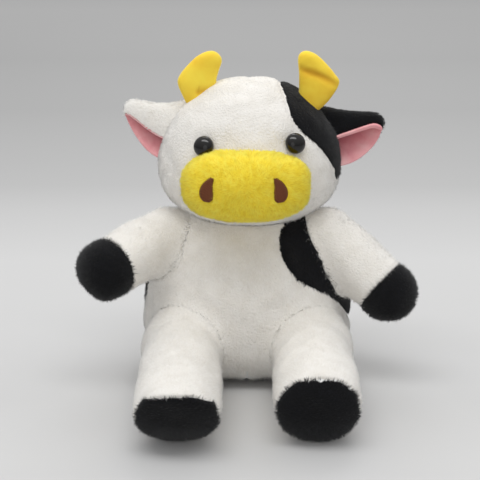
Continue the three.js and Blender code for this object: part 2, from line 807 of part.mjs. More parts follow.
function makeLeg(side) {
  const leg = {
    rootRadius: legRootRadius,
    waistRadius: legRootRadius * Math.cos(legSwing),
    swell: legSwell,
    length: legLengths[side.name],
    endRadius: legEndRadius,
    endRound: legEndRound,
    endPower: legEndPower,
    tilt: soleTilts[side.name],
    squashShare: soleSquashShares[side.name],
  };
  const outer = limbSolid(leg, 0, legSegments, limbSteps);
  const inner = limbSolid(leg, -coverThickness, innerSegments, innerSteps);
  const core = limbSolid(leg, -coverThickness - seamGap, innerSegments, innerSteps);
  const reach = leg.length;
  const ground = new THREE.BoxGeometry(2 * reach, reach, 4 * reach);
  ground.translate(0, seatSink - legRootRadius - reach / 2, 0);
  const under = solidOf(ground);
  const mouth = slab(-2 * legRootRadius, -legRootRadius / 2, reach);
  const [from, to] = [leg.length - 2 * coverThickness, leg.length + overrun];
  const sole = limbTool(leg, soleRadius - seamGap / 2, from, to);
  const soleHole = limbTool(leg, soleRadius + seamGap / 2, from, to);
  const shell = outer.subtract(inner).subtract(under);
  const pieces = [
    meshOf(`leg_cover_${side.name}`, shell.subtract(mouth).subtract(soleHole), white),
    meshOf(`sole_${side.name}`, shell.intersect(sole), black),
    meshOf(`leg_stuffing_${side.name}`, core.subtract(under), fibre),
  ];
  return placeLimb(pieces, limbMatrix(hipCentre(side), new THREE.Vector3(0, -1, 0)));
}

// Tail

function sweptGeometry(curve, radius, steps, sidesRound) {
  const frames = curve.computeFrenetFrames(steps, false);
  const places = [];
  const faces = [];
  for (let i = 0; i <= steps; i++) {
    const centre = curve.getPointAt(i / steps);
    for (let j = 0; j < sidesRound; j++) {
      const angle = (j / sidesRound) * 2 * Math.PI;
      const point = centre.clone();
      point.addScaledVector(frames.normals[i], radius * Math.cos(angle));
      point.addScaledVector(frames.binormals[i], radius * Math.sin(angle));
      places.push(...point.toArray());
    }
  }
  for (let i = 0; i < steps; i++) {
    for (let j = 0; j < sidesRound; j++) {
      const next = (j + 1) % sidesRound;
      const [a, b] = [i * sidesRound + j, i * sidesRound + next];
      faces.push(a, b, b + sidesRound, a, b + sidesRound, a + sidesRound);
    }
  }
  const last = steps * sidesRound;
  for (let j = 1; j < sidesRound - 1; j++) {
    faces.push(0, j + 1, j, last, last + j, last + j + 1);
  }
  const geometry = new THREE.BufferGeometry();
  geometry.setAttribute("position", new THREE.Float32BufferAttribute(places, 3));
  return geometry.setIndex(faces);
}

// Where the tail goes, in shares of how far it runs sideways, back and down.
const tailRouteShares = [[0, 0, 0], [0, 0.5, 0.02], [0.4, 0.9, 0.4], [1, 1, 1]];

function makeTail() {
  const route = tailRouteShares.map(
    ([across, back, down]) =>
      new THREE.Vector3(across * tailSideways, back * tailBack, -down * tailDrop),
  );
  const curve = new THREE.CatmullRomCurve3(route);
  const root = ball(tailRootRadius, new THREE.Vector3(), smallSegments);
  const tube = solidOf(sweptGeometry(curve, tailRadius, tailSteps, tailSegments));
  const end = route[route.length - 1];
  const profile = [];
  for (let i = 0; i <= tuftRings; i++) {
    const share = i / tuftRings;
    const fullness = superShare(Math.sin(Math.PI * share ** tuftLowPower), 2 / tuftFullPower);
    profile.push([tuftRadius * fullness, -tuftLength * (1 - share)]);
  }
  const tuft = turned(profile, smallSegments).translate(end.x, end.y, end.z - seamGap);
  const pieces = [
    meshOf("tail", root.add(tube), white),
    meshOf("tail_tuft", solidOf(tuft), black),
  ];
  const tail = new THREE.Group();
  tail.add(...pieces);
  tail.position.copy(tailCentre);
  return tail;
}

const cow = new THREE.Group();
cow.add(...makeTorso(), ...makeHead(), ...makeMuzzle(), makeTail());
for (const side of sides) {
  cow.add(makeEye(side), makeWasher(side), makeNostril(side), makeHorn(side), ...makeEar(side));
  cow.add(makeArm(side), makeLeg(side));
}
export default cow;
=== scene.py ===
import json
import math

import bmesh
import bpy
import numpy as np
from mathutils import Matrix, Vector


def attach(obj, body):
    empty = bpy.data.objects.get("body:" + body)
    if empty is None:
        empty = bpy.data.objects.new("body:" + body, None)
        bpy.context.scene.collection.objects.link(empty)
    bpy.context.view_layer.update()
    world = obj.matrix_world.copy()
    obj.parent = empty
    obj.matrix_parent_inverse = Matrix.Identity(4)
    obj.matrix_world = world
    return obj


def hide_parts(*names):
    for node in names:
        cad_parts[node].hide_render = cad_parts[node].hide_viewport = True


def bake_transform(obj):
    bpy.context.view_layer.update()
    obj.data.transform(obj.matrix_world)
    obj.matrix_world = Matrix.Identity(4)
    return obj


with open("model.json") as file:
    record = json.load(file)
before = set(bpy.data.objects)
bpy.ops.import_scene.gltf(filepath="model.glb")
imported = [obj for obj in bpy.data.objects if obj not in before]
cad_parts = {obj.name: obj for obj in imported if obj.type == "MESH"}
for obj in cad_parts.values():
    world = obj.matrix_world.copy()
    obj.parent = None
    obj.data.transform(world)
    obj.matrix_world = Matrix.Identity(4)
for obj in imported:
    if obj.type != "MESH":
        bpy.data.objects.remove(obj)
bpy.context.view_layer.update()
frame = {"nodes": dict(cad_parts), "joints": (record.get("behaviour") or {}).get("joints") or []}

mm = 0.001  # every size below is in millimetres
pivots = {joint["child"]: np.array(joint["pos_m"]) / mm for joint in frame["joints"]}
sides = {"left": -1, "right": 1}  # as the viewer sees them
mapName = "OFBake"
print("frame loaded")


# Colours and nodes

def linear(hexText):
    parts = [int(hexText[i:i + 2], 16) / 255 for i in (1, 3, 5)]
    return tuple(p / 12.92 if p <= 0.04045 else ((p + 0.055) / 1.055) ** 2.4 for p in parts) + (1,)


def addNode(material, kind, values=None, links=None, **settings):
    node = material.node_tree.nodes.new("ShaderNode" + kind)
    for key, value in settings.items():
        setattr(node, key, value)
    for key, value in (values or {}).items():
        node.inputs[key].default_value = value
    for key, source in (links or {}).items():
        material.node_tree.links.new(source, node.inputs[key])
    return node


# The place on the object, for patterns that are sized in millimetres
def objectPlace(material):
    return addNode(material, "TexCoord").outputs["Object"]


# The map that addMap writes: a tone across, and upwards a strand's height or how much painted shade a fold, hollow or
# root of velvet gets
def clothMap(material):
    return addNode(material, "SeparateXYZ", links={"Vector": addNode(material, "UVMap", uv_map=mapName).outputs["UV"]})


def feedShader(material, shader, colour, bump=None):
    material.node_tree.links.new(colour, shader.inputs["Base Color"])
    if bump:
        material.node_tree.links.new(bump.outputs["Normal"], shader.inputs["Normal"])


def newMaterial(name, **values):
    material = bpy.data.materials.new(name)
    material.use_nodes = True
    shader = material.node_tree.nodes["Principled BSDF"]
    for key, value in values.items():
        shader.inputs[key].default_value = value
    return material, shader


def addRamp(material, source, stops):
    ramp = addNode(material, "ValToRGB", links={"Fac": source})
    elements = ramp.color_ramp.elements
    for element, (place, colour) in zip((elements[0], elements[1]), (stops[0], stops[-1])):
        element.position = place
        element.color = linear(colour)
    for place, colour in stops[1:-1]:
        elements.new(place).color = linear(colour)
    return ramp


# Plush: polyester pile knitted into a cloth backing. The backing shows only between the strands, so its colour is
# darker than the tips as painted shade from the pile over it; it is softly mottled and has no gloss.
def plushBacking(name, colours, mottle=9.0, fuzz=1.2, sheen=0.3):
    material, shader = newMaterial(name, **{"Roughness": 0.95, "Sheen Weight": sheen, "Sheen Roughness": 0.5,
                                            "Specular IOR Level": 0.2})
    place = objectPlace(material)
    patches = addNode(material, "TexNoise", {"Scale": 1 / (mottle * mm), "Detail": 4.0}, {"Vector": place})
    ramp = addRamp(material, patches.outputs["Fac"], [(0.3, colours[0]), (0.7, colours[1])])
    tufts = addNode(material, "TexNoise", {"Scale": 1 / (fuzz * mm), "Detail": 3.0}, {"Vector": place})
    bump = addNode(material, "Bump", {"Strength": 1.0, "Distance": 0.9 * mm}, {"Height": tufts.outputs["Fac"]})
    feedShader(material, shader, ramp.outputs["Color"], bump)
    return material


# The pile's own polyester strands: each is painted darker where it leaves the backing, as painted shade deep in the
# pile, and paler at its tip.
def plushPile(name, shadedRoots, tips, sheen=0.2):
    material, shader = newMaterial(name, **{"Roughness": 0.95, "Sheen Weight": sheen, "Sheen Roughness": 0.6,
                                            "Specular IOR Level": 0.05})
    fibre = clothMap(material)
    # the root colours are painted shade: darker where the strands crowd over the backing
    low = addRamp(material, fibre.outputs["X"], [(0.0, shadedRoots[0]), (1.0, shadedRoots[1])])
    high = addRamp(material, fibre.outputs["X"], [(0.0, tips[0]), (1.0, tips[1])])
    rise = addNode(material, "MapRange", {"From Min": 0.0, "From Max": 0.8}, {"Value": fibre.outputs["Y"]},
                   interpolation_type="SMOOTHSTEP")
    ends = {"Factor": rise.outputs["Result"], "A": low.outputs["Color"], "B": high.outputs["Color"]}
    colour = addNode(material, "Mix", links=ends, data_type="RGBA")
    feedShader(material, shader, colour.outputs["Result"])
    return material


# Velvet: a very short dense pile, so it glows at its edges, and its colour is painted darker where folds, hollows and
# roots would be shaded.
def velvet(name, colours, paintedShade, sheenTint, crease=7.0, grain=0.5):
    material, shader = newMaterial(name, **{"Roughness": 0.8, "Sheen Weight": 0.6, "Sheen Roughness": 0.35,
                                            "Sheen Tint": linear(sheenTint), "Specular IOR Level": 0.2})
    place = objectPlace(material)
    strokes = addNode(material, "TexNoise", {"Scale": 1 / (crease * mm), "Detail": 3.0, "Distortion": 0.6},
                      {"Vector": place})
    ramp = addRamp(material, strokes.outputs["Fac"], [(0.28, colours[0]), (0.5, colours[1]), (0.75, colours[2])])
    # the map's upward value mixes in the painted-shade colour, for folds, hollows and roots
    ends = {"Factor": clothMap(material).outputs["Y"], "A": ramp.outputs["Color"]}
    fold = addNode(material, "Mix", {"B": linear(paintedShade)}, ends, data_type="RGBA")
    nap = addNode(material, "TexNoise", {"Scale": 1 / (grain * mm), "Detail": 2.0}, {"Vector": place})
    bump = addNode(material, "Bump", {"Strength": 0.35, "Distance": 0.2 * mm}, {"Height": nap.outputs["Fac"]})
    feedShader(material, shader, fold.outputs["Result"], bump)
    return material


# Rayon embroidery thread: twisted and slightly silky along each stitch.
def rayonThread(name, colours):
    material, shader = newMaterial(name, **{"Roughness": 0.6, "Specular IOR Level": 0.25})
    place = objectPlace(material)
    twist = addNode(material, "TexWave", {"Scale": 1 / (2.5 * mm), "Distortion": 2.0, "Detail": 2.0},
                    {"Vector": place}, bands_direction="DIAGONAL")
    ramp = addRamp(material, twist.outputs["Fac"], [(0.0, colours[0]), (1.0, colours[1])])
    bump = addNode(material, "Bump", {"Strength": 0.3, "Distance": 0.1 * mm}, {"Height": twist.outputs["Fac"]})
    feedShader(material, shader, ramp.outputs["Color"], bump)
    return material


# Polished acrylic: a deep brown body that is almost black, under a clear smooth face.
def polishedAcrylic(name, colours):
    material, shader = newMaterial(name, **{"Roughness": 0.08, "IOR": 1.49, "Specular IOR Level": 0.5})
    place = objectPlace(material)
    depth = addNode(material, "TexNoise", {"Scale": 1 / (4.0 * mm), "Detail": 1.0}, {"Vector": place})
    ramp = addRamp(material, depth.outputs["Fac"], [(0.3, colours[0]), (0.7, colours[1])])
    feedShader(material, shader, ramp.outputs["Color"])
    return material


# Fibre filling: loose tangled polyester, matt and uneven.
def fibreFilling(name, colours):
    material, shader = newMaterial(name, **{"Roughness": 1.0, "Specular IOR Level": 0.1})
    place = objectPlace(material)
    tangle = addNode(material, "TexNoise", {"Scale": 1 / (3.0 * mm), "Detail": 5.0, "Distortion": 2.0},
                     {"Vector": place})
    ramp = addRamp(material, tangle.outputs["Fac"], [(0.3, colours[0]), (0.7, colours[1])])
    bump = addNode(material, "Bump", {"Strength": 0.6, "Distance": 1.0 * mm}, {"Height": tangle.outputs["Fac"]})
    feedShader(material, shader, ramp.outputs["Color"], bump)
    return material


# Plain woven cotton, for the bag that holds the pellets.
def pelletCotton(name, colours):
    material, shader = newMaterial(name, **{"Roughness": 0.9, "Specular IOR Level": 0.2})
    place = objectPlace(material)
    weave = addNode(material, "TexWave", {"Scale": 1 / (4.0 * mm), "Distortion": 0.4, "Detail": 1.0},
                    {"Vector": place})
    ramp = addRamp(material, weave.outputs["Fac"], [(0.2, colours[0]), (0.8, colours[1])])
    feedShader(material, shader, ramp.outputs["Color"])
    return material


# Moulded nylon: off-white, slightly waxy, with the faint unevenness of the mould.
def mouldedNylon(name, colours):
    material, shader = newMaterial(name, **{"Roughness": 0.45, "IOR": 1.53})
    place = objectPlace(material)
    flow = addNode(material, "TexNoise", {"Scale": 1 / (5.0 * mm), "Detail": 2.0}, {"Vector": place})
    ramp = addRamp(material, flow.outputs["Fac"], [(0.3, colours[0]), (0.7, colours[1])])
    feedShader(material, shader, ramp.outputs["Color"])
    return material


finishes = {
    # each backing, and each pile's first pair of root colours, is darker than the pile's tips: painted shade deep in
    # the pile
    "whiteBacking": plushBacking("white plush backing", ["#e4e0d9", "#efece7"]),
    "whitePile": plushPile("white plush pile", ["#dfdbd3", "#edeae4"], ["#f0ede7", "#faf9f6"]),
    "blackBacking": plushBacking("black plush backing", ["#08080a", "#0e0f12"], sheen=0.08),
    "blackPile": plushPile("black plush pile", ["#040405", "#08080a"], ["#0c0d10", "#1a1b20"], sheen=0.12),
    "yellowBacking": plushBacking("yellow fleece backing", ["#e2c02a", "#f4d63a"], mottle=6.0, sheen=0.06),
    "yellowPile": plushPile("yellow fleece pile", ["#e6c42c", "#f6d93a"], ["#ffe53c", "#fff468"], sheen=0.06),
    # after each velvet's three tones comes its painted-shade colour, mixed in where folds, hollows and roots would be
    # shaded
    "hornVelvet": velvet("yellow velvet", ["#f6cc3e", "#fcdb48", "#ffe652"], "#c98a1c", "#fff3b0", crease=15.0),
    "earVelvet": velvet("pink velvet", ["#ee9fa6", "#f5b0b4", "#fac2c4"], "#a8434f", "#ffe4e4"),
    "fibre": fibreFilling("polyester fibre filling", ["#dcdcda", "#f4f4f2"]),
    "cotton": pelletCotton("cotton of the pellet bag", ["#cfc6b4", "#e2dac8"]),
    "nylon": mouldedNylon("moulded nylon washer", ["#d9d8d2", "#e6e5e0"]),
    "thread": rayonThread("brown rayon thread", ["#572e17", "#7d462a"]),
    "eye": polishedAcrylic("polished brown acrylic", ["#050404", "#0f0b09"]),
}
print("materials made")


# Camera and studio

camera = {"target": 110, "distance": 900, "elevation": 15, "focalPixels": 1500, "across": 247, "down": 191,
          "imagePixels": 480, "sensor": 36}


def makeCamera():
    data = bpy.data.cameras.new("camera")
    data.sensor_width = camera["sensor"]
    data.lens = camera["sensor"] * camera["focalPixels"] / camera["imagePixels"]
    data.clip_start = 0.01
    data.clip_end = 20
    rise = math.radians(camera["elevation"])
    middle = camera["imagePixels"] / 2
    drop = math.atan((middle - camera["down"]) / camera["focalPixels"])
    aside = (middle - camera["across"]) * camera["distance"] / camera["focalPixels"]
    made = bpy.data.objects.new("camera", data)
    made.location = Vector((
        aside,
        -camera["distance"] * math.cos(rise),
        camera["target"] + camera["distance"] * math.sin(rise),
    )) * mm
    made.rotation_euler = (math.pi / 2 - rise - drop, 0, 0)
    bpy.context.scene.collection.objects.link(made)
    bpy.context.scene.camera = made


studio = {  # in metres
    "floorSize": 12.0,
    "fade": [  # the floor's grey, from front to back: painted light and shade for how the studio light falls across it
        (-0.3, "#c7c7c7"), (-0.14, "#c7c7c7"), (-0.06, "#c2c2c2"), (0.058, "#c6c6c6"), (0.21, "#c6c6c6"),
        (0.35, "#bbbbbb"), (0.43, "#b1b1b1"), (0.526, "#adadad"), (0.756, "#a6a6a6"), (1.08, "#a9a9a9"),
        (1.53, "#bdbdbd"), (1.8, "#bdbdbd"),
    ],
    "key": {"place": (-0.08, -0.36, 1.2), "size": (1.4, 0.4), "power": 6.3},
    "fill": {"place": (-0.15, -1.4, 0.4), "size": (1.0, 1.0), "power": 1.4},
    "rim": {"place": (0.1, 0.9, 1.0), "size": (1.0, 1.0), "power": 5},
    "sky": {"strength": 0.87, "low": "#a8a8a8", "high": "#ffffff"},  # a light tent, brighter overhead
    "aim": (0, 0, 0.1),
}


def makeStudio():
    bpy.ops.mesh.primitive_plane_add(size=studio["floorSize"])
    floor = bpy.context.object
    floor.name = "floor"
    material, shader = newMaterial("matt studio floor", **{"Roughness": 0.9, "Specular IOR Level": 0.1})
    place = addNode(material, "SeparateXYZ", links={"Vector": addNode(material, "NewGeometry").outputs["Position"]})
    # the floor's grey changes from front to back as painted light and shade
    near, far = studio["fade"][0][0], studio["fade"][-1][0]
    fade = addNode(material, "MapRange", {"From Min": near, "From Max": far}, {"Value": place.outputs["Y"]})
    stops = [((along - near) / (far - near), colour) for along, colour in studio["fade"]]
    ramp = addRamp(material, fade.outputs["Result"], stops)
    feedShader(material, shader, ramp.outputs["Color"])
    floor.data.materials.append(material)
    for name in ("key", "fill", "rim"):
        data = bpy.data.lights.new(name, "AREA")
        data.shape = "ELLIPSE"
        data.size, data.size_y = studio[name]["size"]
        data.energy = studio[name]["power"]
        lamp = bpy.data.objects.new(name, data)
        lamp.location = studio[name]["place"]
        toward = Vector(studio["aim"]) - lamp.location
        lamp.rotation_euler = toward.to_track_quat("-Z", "Y").to_euler()
        bpy.context.scene.collection.objects.link(lamp)
    world = bpy.data.worlds.new("studio")
    world.use_nodes = True
    sky = studio["sky"]
    height = addNode(world, "SeparateXYZ", links={"Vector": addNode(world, "TexCoord").outputs["Generated"]})
    tent = addRamp(world, height.outputs["Z"], [(0.0, sky["low"]), (0.9, sky["high"])])
    background = world.node_tree.nodes["Background"]
    background.inputs["Strength"].default_value = sky["strength"]
    world.node_tree.links.new(tent.outputs["Color"], background.inputs["Color"])
    bpy.context.scene.world = world
    bpy.context.scene.view_settings.view_transform = "Standard"


makeCamera()
makeStudio()
print("studio ready")


# Meshes from arrays

def unit(vectors):
    return vectors / np.maximum(np.linalg.norm(vectors, axis=-1, keepdims=True), 1e-12)


def faceNormals(points, faces):
    a, b, c = (points[faces[:, k]] for k in range(3))
    return np.cross(b - a, c - a)


def vertexNormals(points, faces):
    flat = faceNormals(points, faces)
    total = np.zeros_like(points)
    for k in range(3):
        for axis in range(3):
            total[:, axis] += np.bincount(faces[:, k], flat[:, axis], len(points))
    return unit(total)


def keepFaces(points, faces, kept):
    faces = faces[kept]
    used = np.unique(faces)
    number = np.full(len(points), -1)
    number[used] = np.arange(len(used))
    return points[used], number[faces], used


def makeMesh(name, points, faces, finish, shade=None):
    mesh = bpy.data.meshes.new(name)
    mesh.vertices.add(len(points))
    mesh.vertices.foreach_set("co", (np.asarray(points) * mm).astype(np.float32).ravel())
    mesh.loops.add(faces.size)
    mesh.loops.foreach_set("vertex_index", faces.astype(np.int32).ravel())
    mesh.polygons.add(len(faces))
    mesh.polygons.foreach_set("loop_start", np.arange(0, faces.size, faces.shape[1], dtype=np.int32))
    mesh.update(calc_edges=True)
    mesh.polygons.foreach_set("use_smooth", np.ones(len(faces), bool))
    if shade is not None:
        mesh.normals_split_custom_set_from_vertices(shade.reshape(-1, 3).tolist())
    mesh.materials.append(finishes[finish])
    piece = bpy.data.objects.new(name, mesh)
    bpy.context.scene.collection.objects.link(piece)
    return piece


# One value across and one upwards for each corner of each face
def addMap(piece, across, up):
    layer = piece.data.uv_layers.new(name=mapName)
    layer.data.foreach_set("uv", np.stack([across, up], 1).astype(np.float32).ravel())


# Faces over a grid of points, each square cut in two
def gridFaces(a, b, c, d):
    a, b, c, d = (corner.ravel() for corner in (a, b, c, d))
    return np.concatenate([np.stack([a, b, c], 1), np.stack([a, c, d], 1)])


# Faces round rows of rings, with a fan at each end
def tubeFaces(index, first, last):
    beside = np.roll(index, -1, 1)
    count = index.shape[1]
    return np.concatenate([
        gridFaces(index[:-1], beside[:-1], beside[1:], index[1:]),
        np.stack([np.full(count, first), beside[0], index[0]], 1),
        np.stack([np.full(count, last), index[-1], beside[-1]], 1),
    ])


# A form turned on an upright axis, from its radius at each height, with a point at each end
def turnedForm(radii, heights, segments):
    around = np.arange(segments) / segments * 2 * math.pi
    rings = np.stack([
        radii[1:-1, None] * np.cos(around), radii[1:-1, None] * np.sin(around),
        np.repeat(heights[1:-1, None], segments, 1),
    ], 2).reshape(-1, 3)
    index = np.arange(len(heights) - 2)[:, None] * segments + np.arange(segments)
    points = np.concatenate([rings, [[0, 0, heights[0]]], [[0, 0, heights[-1]]]])
    return points, tubeFaces(index, len(points) - 2, len(points) - 1)


# Closes a thin skin: the same surface again further in, joined to it round each open edge.
def thicken(points, faces, normals, depth):
    count = len(points)
    edges = np.concatenate([faces[:, [0, 1]], faces[:, [1, 2]], faces[:, [2, 0]]])
    keys = edges[:, 0] * count + edges[:, 1]
    rim = edges[~np.isin(keys, edges[:, 1] * count + edges[:, 0])]
    walls = np.concatenate([
        np.stack([rim[:, 1], rim[:, 0], rim[:, 0] + count], 1),
        np.stack([rim[:, 1], rim[:, 0] + count, rim[:, 1] + count], 1),
    ])
    both = np.concatenate([points, points - normals * depth])
    return both, np.concatenate([faces, faces[:, ::-1] + count, walls])


ballCache = {}


def ballDirections(level):
    if level not in ballCache:
        ball = bmesh.new()
        bmesh.ops.create_icosphere(ball, subdivisions=level, radius=1)
        ways = unit(np.array([v.co[:] for v in ball.verts]))
        faces = np.array([[v.index for v in f.verts] for f in ball.faces])
        ball.free()
        ballCache[level] = (ways, faces)
    return ballCache[level]


# Soft lumps, as loose filling makes them: waves of about one size in all directions, from -1 to 1.
def lumps(points, size, seed, waves=16):
    dice = np.random.default_rng(seed)
    ways = unit(dice.normal(size=(waves, 3))) * (2 * math.pi / (size * dice.uniform(0.7, 1.4, (waves, 1))))
    total = np.sin(points @ ways.T + dice.uniform(0, 2 * math.pi, waves)).sum(1)
    return np.clip(total / math.sqrt(2 * waves), -1, 1)


def curveThrough(corners, steps, closed=True):
    corners = np.asarray(corners, float)
    count = len(corners)
    spans = count if closed else count - 1
    pick = (lambda i: corners[i % count]) if closed else (lambda i: corners[min(max(i, 0), count - 1)])
    along = np.arange(steps)[:, None] / steps
    rows = []
    for i in range(spans):
        a, b, c, d = (pick(i + k) for k in (-1, 0, 1, 2))
        rows.append(0.5 * (2 * b + (c - a) * along + (2 * a - 5 * b + 4 * c - d) * along ** 2
                           + (3 * b - a - 3 * c + d) * along ** 3))
    if not closed:
        rows.append(corners[-1:])
    return np.concatenate(rows)


def distanceToLine(points, line, closed=True):
    ends = np.roll(line, -1, 0) if closed else line[1:]
    starts = line if closed else line[:-1]
    nearest = np.full(len(points), np.inf)
    for start, end in zip(starts, ends):
        span = end - start
        place = np.clip(((points - start) @ span) / max(span @ span, 1e-12), 0, 1)
        nearest = np.minimum(nearest, np.linalg.norm(points - start - place[:, None] * span, axis=1))
    return nearest


def insideOutline(points, outline):
    within = np.zeros(len(points), bool)
    for (x1, y1), (x2, y2) in zip(outline, np.roll(outline, -1, 0)):
        crosses = (y1 > points[:, 1]) != (y2 > points[:, 1])
        if y1 != y2:
            at = (x2 - x1) * (points[:, 1] - y1) / (y2 - y1) + x1
            within ^= crosses & (points[:, 0] < at)
    return within


# Eggs: the stuffed body forms

def eggReach(egg, ways):
    above = ways[:, 2] >= 0
    power = np.where(above, egg["upperPower"], egg["lowerPower"])
    flat = np.hypot(ways[:, 0] / egg["halfWidth"], ways[:, 1] / egg["halfDepth"])
    rise = np.abs(ways[:, 2]) / np.where(above, egg["upper"], egg["lower"])
    return (flat ** power + rise ** power) ** (-1 / power)


def eggPoints(egg, level):
    ways, faces = ballDirections(level)
    squeezed = unit(ways * np.array([egg["halfWidth"], egg["halfDepth"], (egg["upper"] + egg["lower"]) / 2]))
    points = squeezed * eggReach(egg, squeezed)[:, None] + egg["centre"]
    return points, faces


# How far a point is out of the egg, roughly, in millimetres; less than nothing inside.
def eggGap(egg, points):
    offset = points - egg["centre"]
    far = np.linalg.norm(offset, axis=1)
    return far - eggReach(egg, offset / np.maximum(far, 1e-9)[:, None])


def eggFront(egg, across, height):
    above = height >= egg["centre"][2]
    power = egg["upperPower"] if above else egg["lowerPower"]
    reach = egg["upper"] if above else egg["lower"]
    share = max(1 - (abs(height - egg["centre"][2]) / reach) ** power, 0) ** (1 / power)
    side = min(abs(across) / max(egg["halfWidth"] * share, 1e-9), 1)
    depth = egg["halfDepth"] * share * math.sqrt(1 - side * side)
    return np.array([egg["centre"][0] + across, egg["centre"][1] - depth, height])


def eggNormal(egg, point):
    step = 0.05
    slope = [eggGap(egg, np.array([point + step * way]))[0] - eggGap(egg, np.array([point - step * way]))[0]
             for way in np.eye(3)]
    return unit(np.array(slope))


# Pile: closed three-sided strands that lean the way the cloth was brushed. Their shading follows the skin
# under them, as dense pile does. Real strands are finer; these are as thick as they need to be to show.

strand = {"quickShare": 0.4, "tiltChange": 0.25, "lean": 1.8, "steepest": 1.2, "lengths": (0.75, 1.15),
          "thicknesses": (0.8, 1.2), "tipFloor": 0.15, "rootFloor": 0.1, "perPiece": 49000,
          "toneOwn": 0.6, "tonePatches": 0.2}


# Places spread evenly over a skin, with the way straight out of the cloth at each
def scatterRoots(skins, density, dice, drop):
    points, faces, normals = skins
    corners = points[faces]
    area = np.linalg.norm(faceNormals(points, faces), axis=1) / 2
    count = int(area.sum() * density)
    face = np.searchsorted(np.cumsum(area), dice.uniform(0, area.sum(), count))
    face = np.minimum(face, len(faces) - 1)
    a, b = dice.uniform(size=(2, count, 1))
    flip = a + b > 1
    a, b = np.where(flip, 1 - a, a), np.where(flip, 1 - b, b)
    root = corners[face, 0] * (1 - a - b) + corners[face, 1] * a + corners[face, 2] * b
    trio = normals[faces[face]]
    out = unit(trio[:, 0] * (1 - a - b) + trio[:, 1] * a + trio[:, 2] * b)
    if drop is None:
        return root, out
    kept = ~drop(root)
    return root[kept], out[kept]


def growPile(name, skins, look, finish, brush, drop=None, seed=1, reach=None, tone=None):
    dice = np.random.default_rng(seed)
    root, out = scatterRoots(skins, look["density"] * (1), dice, drop)
    count = len(root)
    # the brushed way along the cloth, then up from it by the tilt
    way = brush(root, out)
    clump = np.stack([lumps(root, look["clump"], seed + 10 + k) for k in range(3)], 1)
    way = way + clump * look["clumping"] + dice.normal(size=(count, 3)) * look["scatter"]
    way = way - out * (way * out).sum(1, keepdims=True)
    tilt = look["tilt"] * (1 + strand["tiltChange"] * lumps(root, look["clump"] * 1.7, seed + 20))[:, None]
    slope = np.minimum(np.linalg.norm(way, axis=1, keepdims=True) * strand["lean"], strand["steepest"]) * tilt
    way = unit(out + unit(way) * slope)
    length = look["length"] * dice.uniform(*strand["lengths"], (count, 1))
    if reach is not None:
        length = length * reach(root)[:, None]
    tip = root + way * length
    tip[:, 2] = np.maximum(tip[:, 2], strand["tipFloor"])
    side = unit(np.cross(way, out + dice.normal(size=(count, 3)) * 0.3))
    across = np.cross(way, side)
    thick = look["thickness"] / 2 * dice.uniform(*strand["thicknesses"], (count, 1))
    turn = dice.uniform(0, 2 * math.pi, (count, 1))
    strands = np.empty((count, 4, 3))
    shade = np.empty((count, 4, 3))
    for k in range(3):
        angle = turn + k * 2 * math.pi / 3
        radial = side * np.cos(angle) + across * np.sin(angle)
        strands[:, k] = root - out * look["sink"] + radial * thick
        shade[:, k] = unit(out + radial * look["roundness"])
    strands[:, 3] = tip
    shade[:, 3] = unit(out + way * look["roundness"])
    strands[:, :, 2] = np.maximum(strands[:, :, 2], strand["rootFloor"])
    patches = lumps(root, look["clump"] * 3, seed + 30)
    tones = dice.uniform(0, 1, count) * strand["toneOwn"] + (0.2 + strand["tonePatches"] * patches)
    if tone is not None:
        tones = tones + tone(root)
    tones = np.clip(tones, 0.01, 0.99)
    parts = math.ceil(count / strand["perPiece"])
    pieces = []
    for part in range(parts):
        chosen = slice(part, None, parts)
        pieces.append(strandMesh(name if parts == 1 else f"{name}_{part + 1}", strands[chosen], shade[chosen],
                                 tones[chosen], finish))
    return pieces


# The same brushed way all over a piece
def evenBrush(way):
    return lambda points, outward: np.tile(np.array(way), (len(points), 1))


brushedDown = evenBrush((0.0, -0.5, -1.0))
strandFaces = np.array([[0, 2, 1], [0, 1, 3], [1, 2, 3], [2, 0, 3]])


def strandMesh(name, strands, shade, tones, finish):
    count = len(strands)
    faces = (strandFaces[None] + 4 * np.arange(count)[:, None, None]).reshape(-1, 3)
    points = strands.reshape(-1, 3)
    middle = points[faces].mean(1) - np.repeat(strands.mean(1), 4, 0)
    if ((faceNormals(points, faces) * middle).sum(1) < 0).mean() > 0.5:
        faces = faces[:, ::-1]
    piece = makeMesh(name, points, faces, finish, shade)
    corner = faces.ravel()
    # upwards 0.02 at the root and 0.98 at the tip: the material blends from the painted-shade root colour to the tip
    # colour
    addMap(piece, np.repeat(tones, 4)[corner], np.where(corner % 4 == 3, 0.98, 0.02))
    # light passes between real strands, so the backing casts the shadow
    piece.visible_shadow = piece.visible_diffuse = piece.visible_glossy = False
    piece.visible_transmission = piece.visible_volume_scatter = False
    return piece


# Where pieces belong

def settle(pieces, body, nodes=(), neckBlend=False, seam=None):
    for piece in pieces if isinstance(pieces, list) else [pieces]:
        if nodes:
            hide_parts(*nodes)
            nodes = ()
        if seam is not None:
            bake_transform(piece)
        elif neckBlend:
            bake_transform(piece)
        else:
            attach(piece, body)


skinInset = 0.8  # the backing lies this far inside the outer size, which the pile fills out

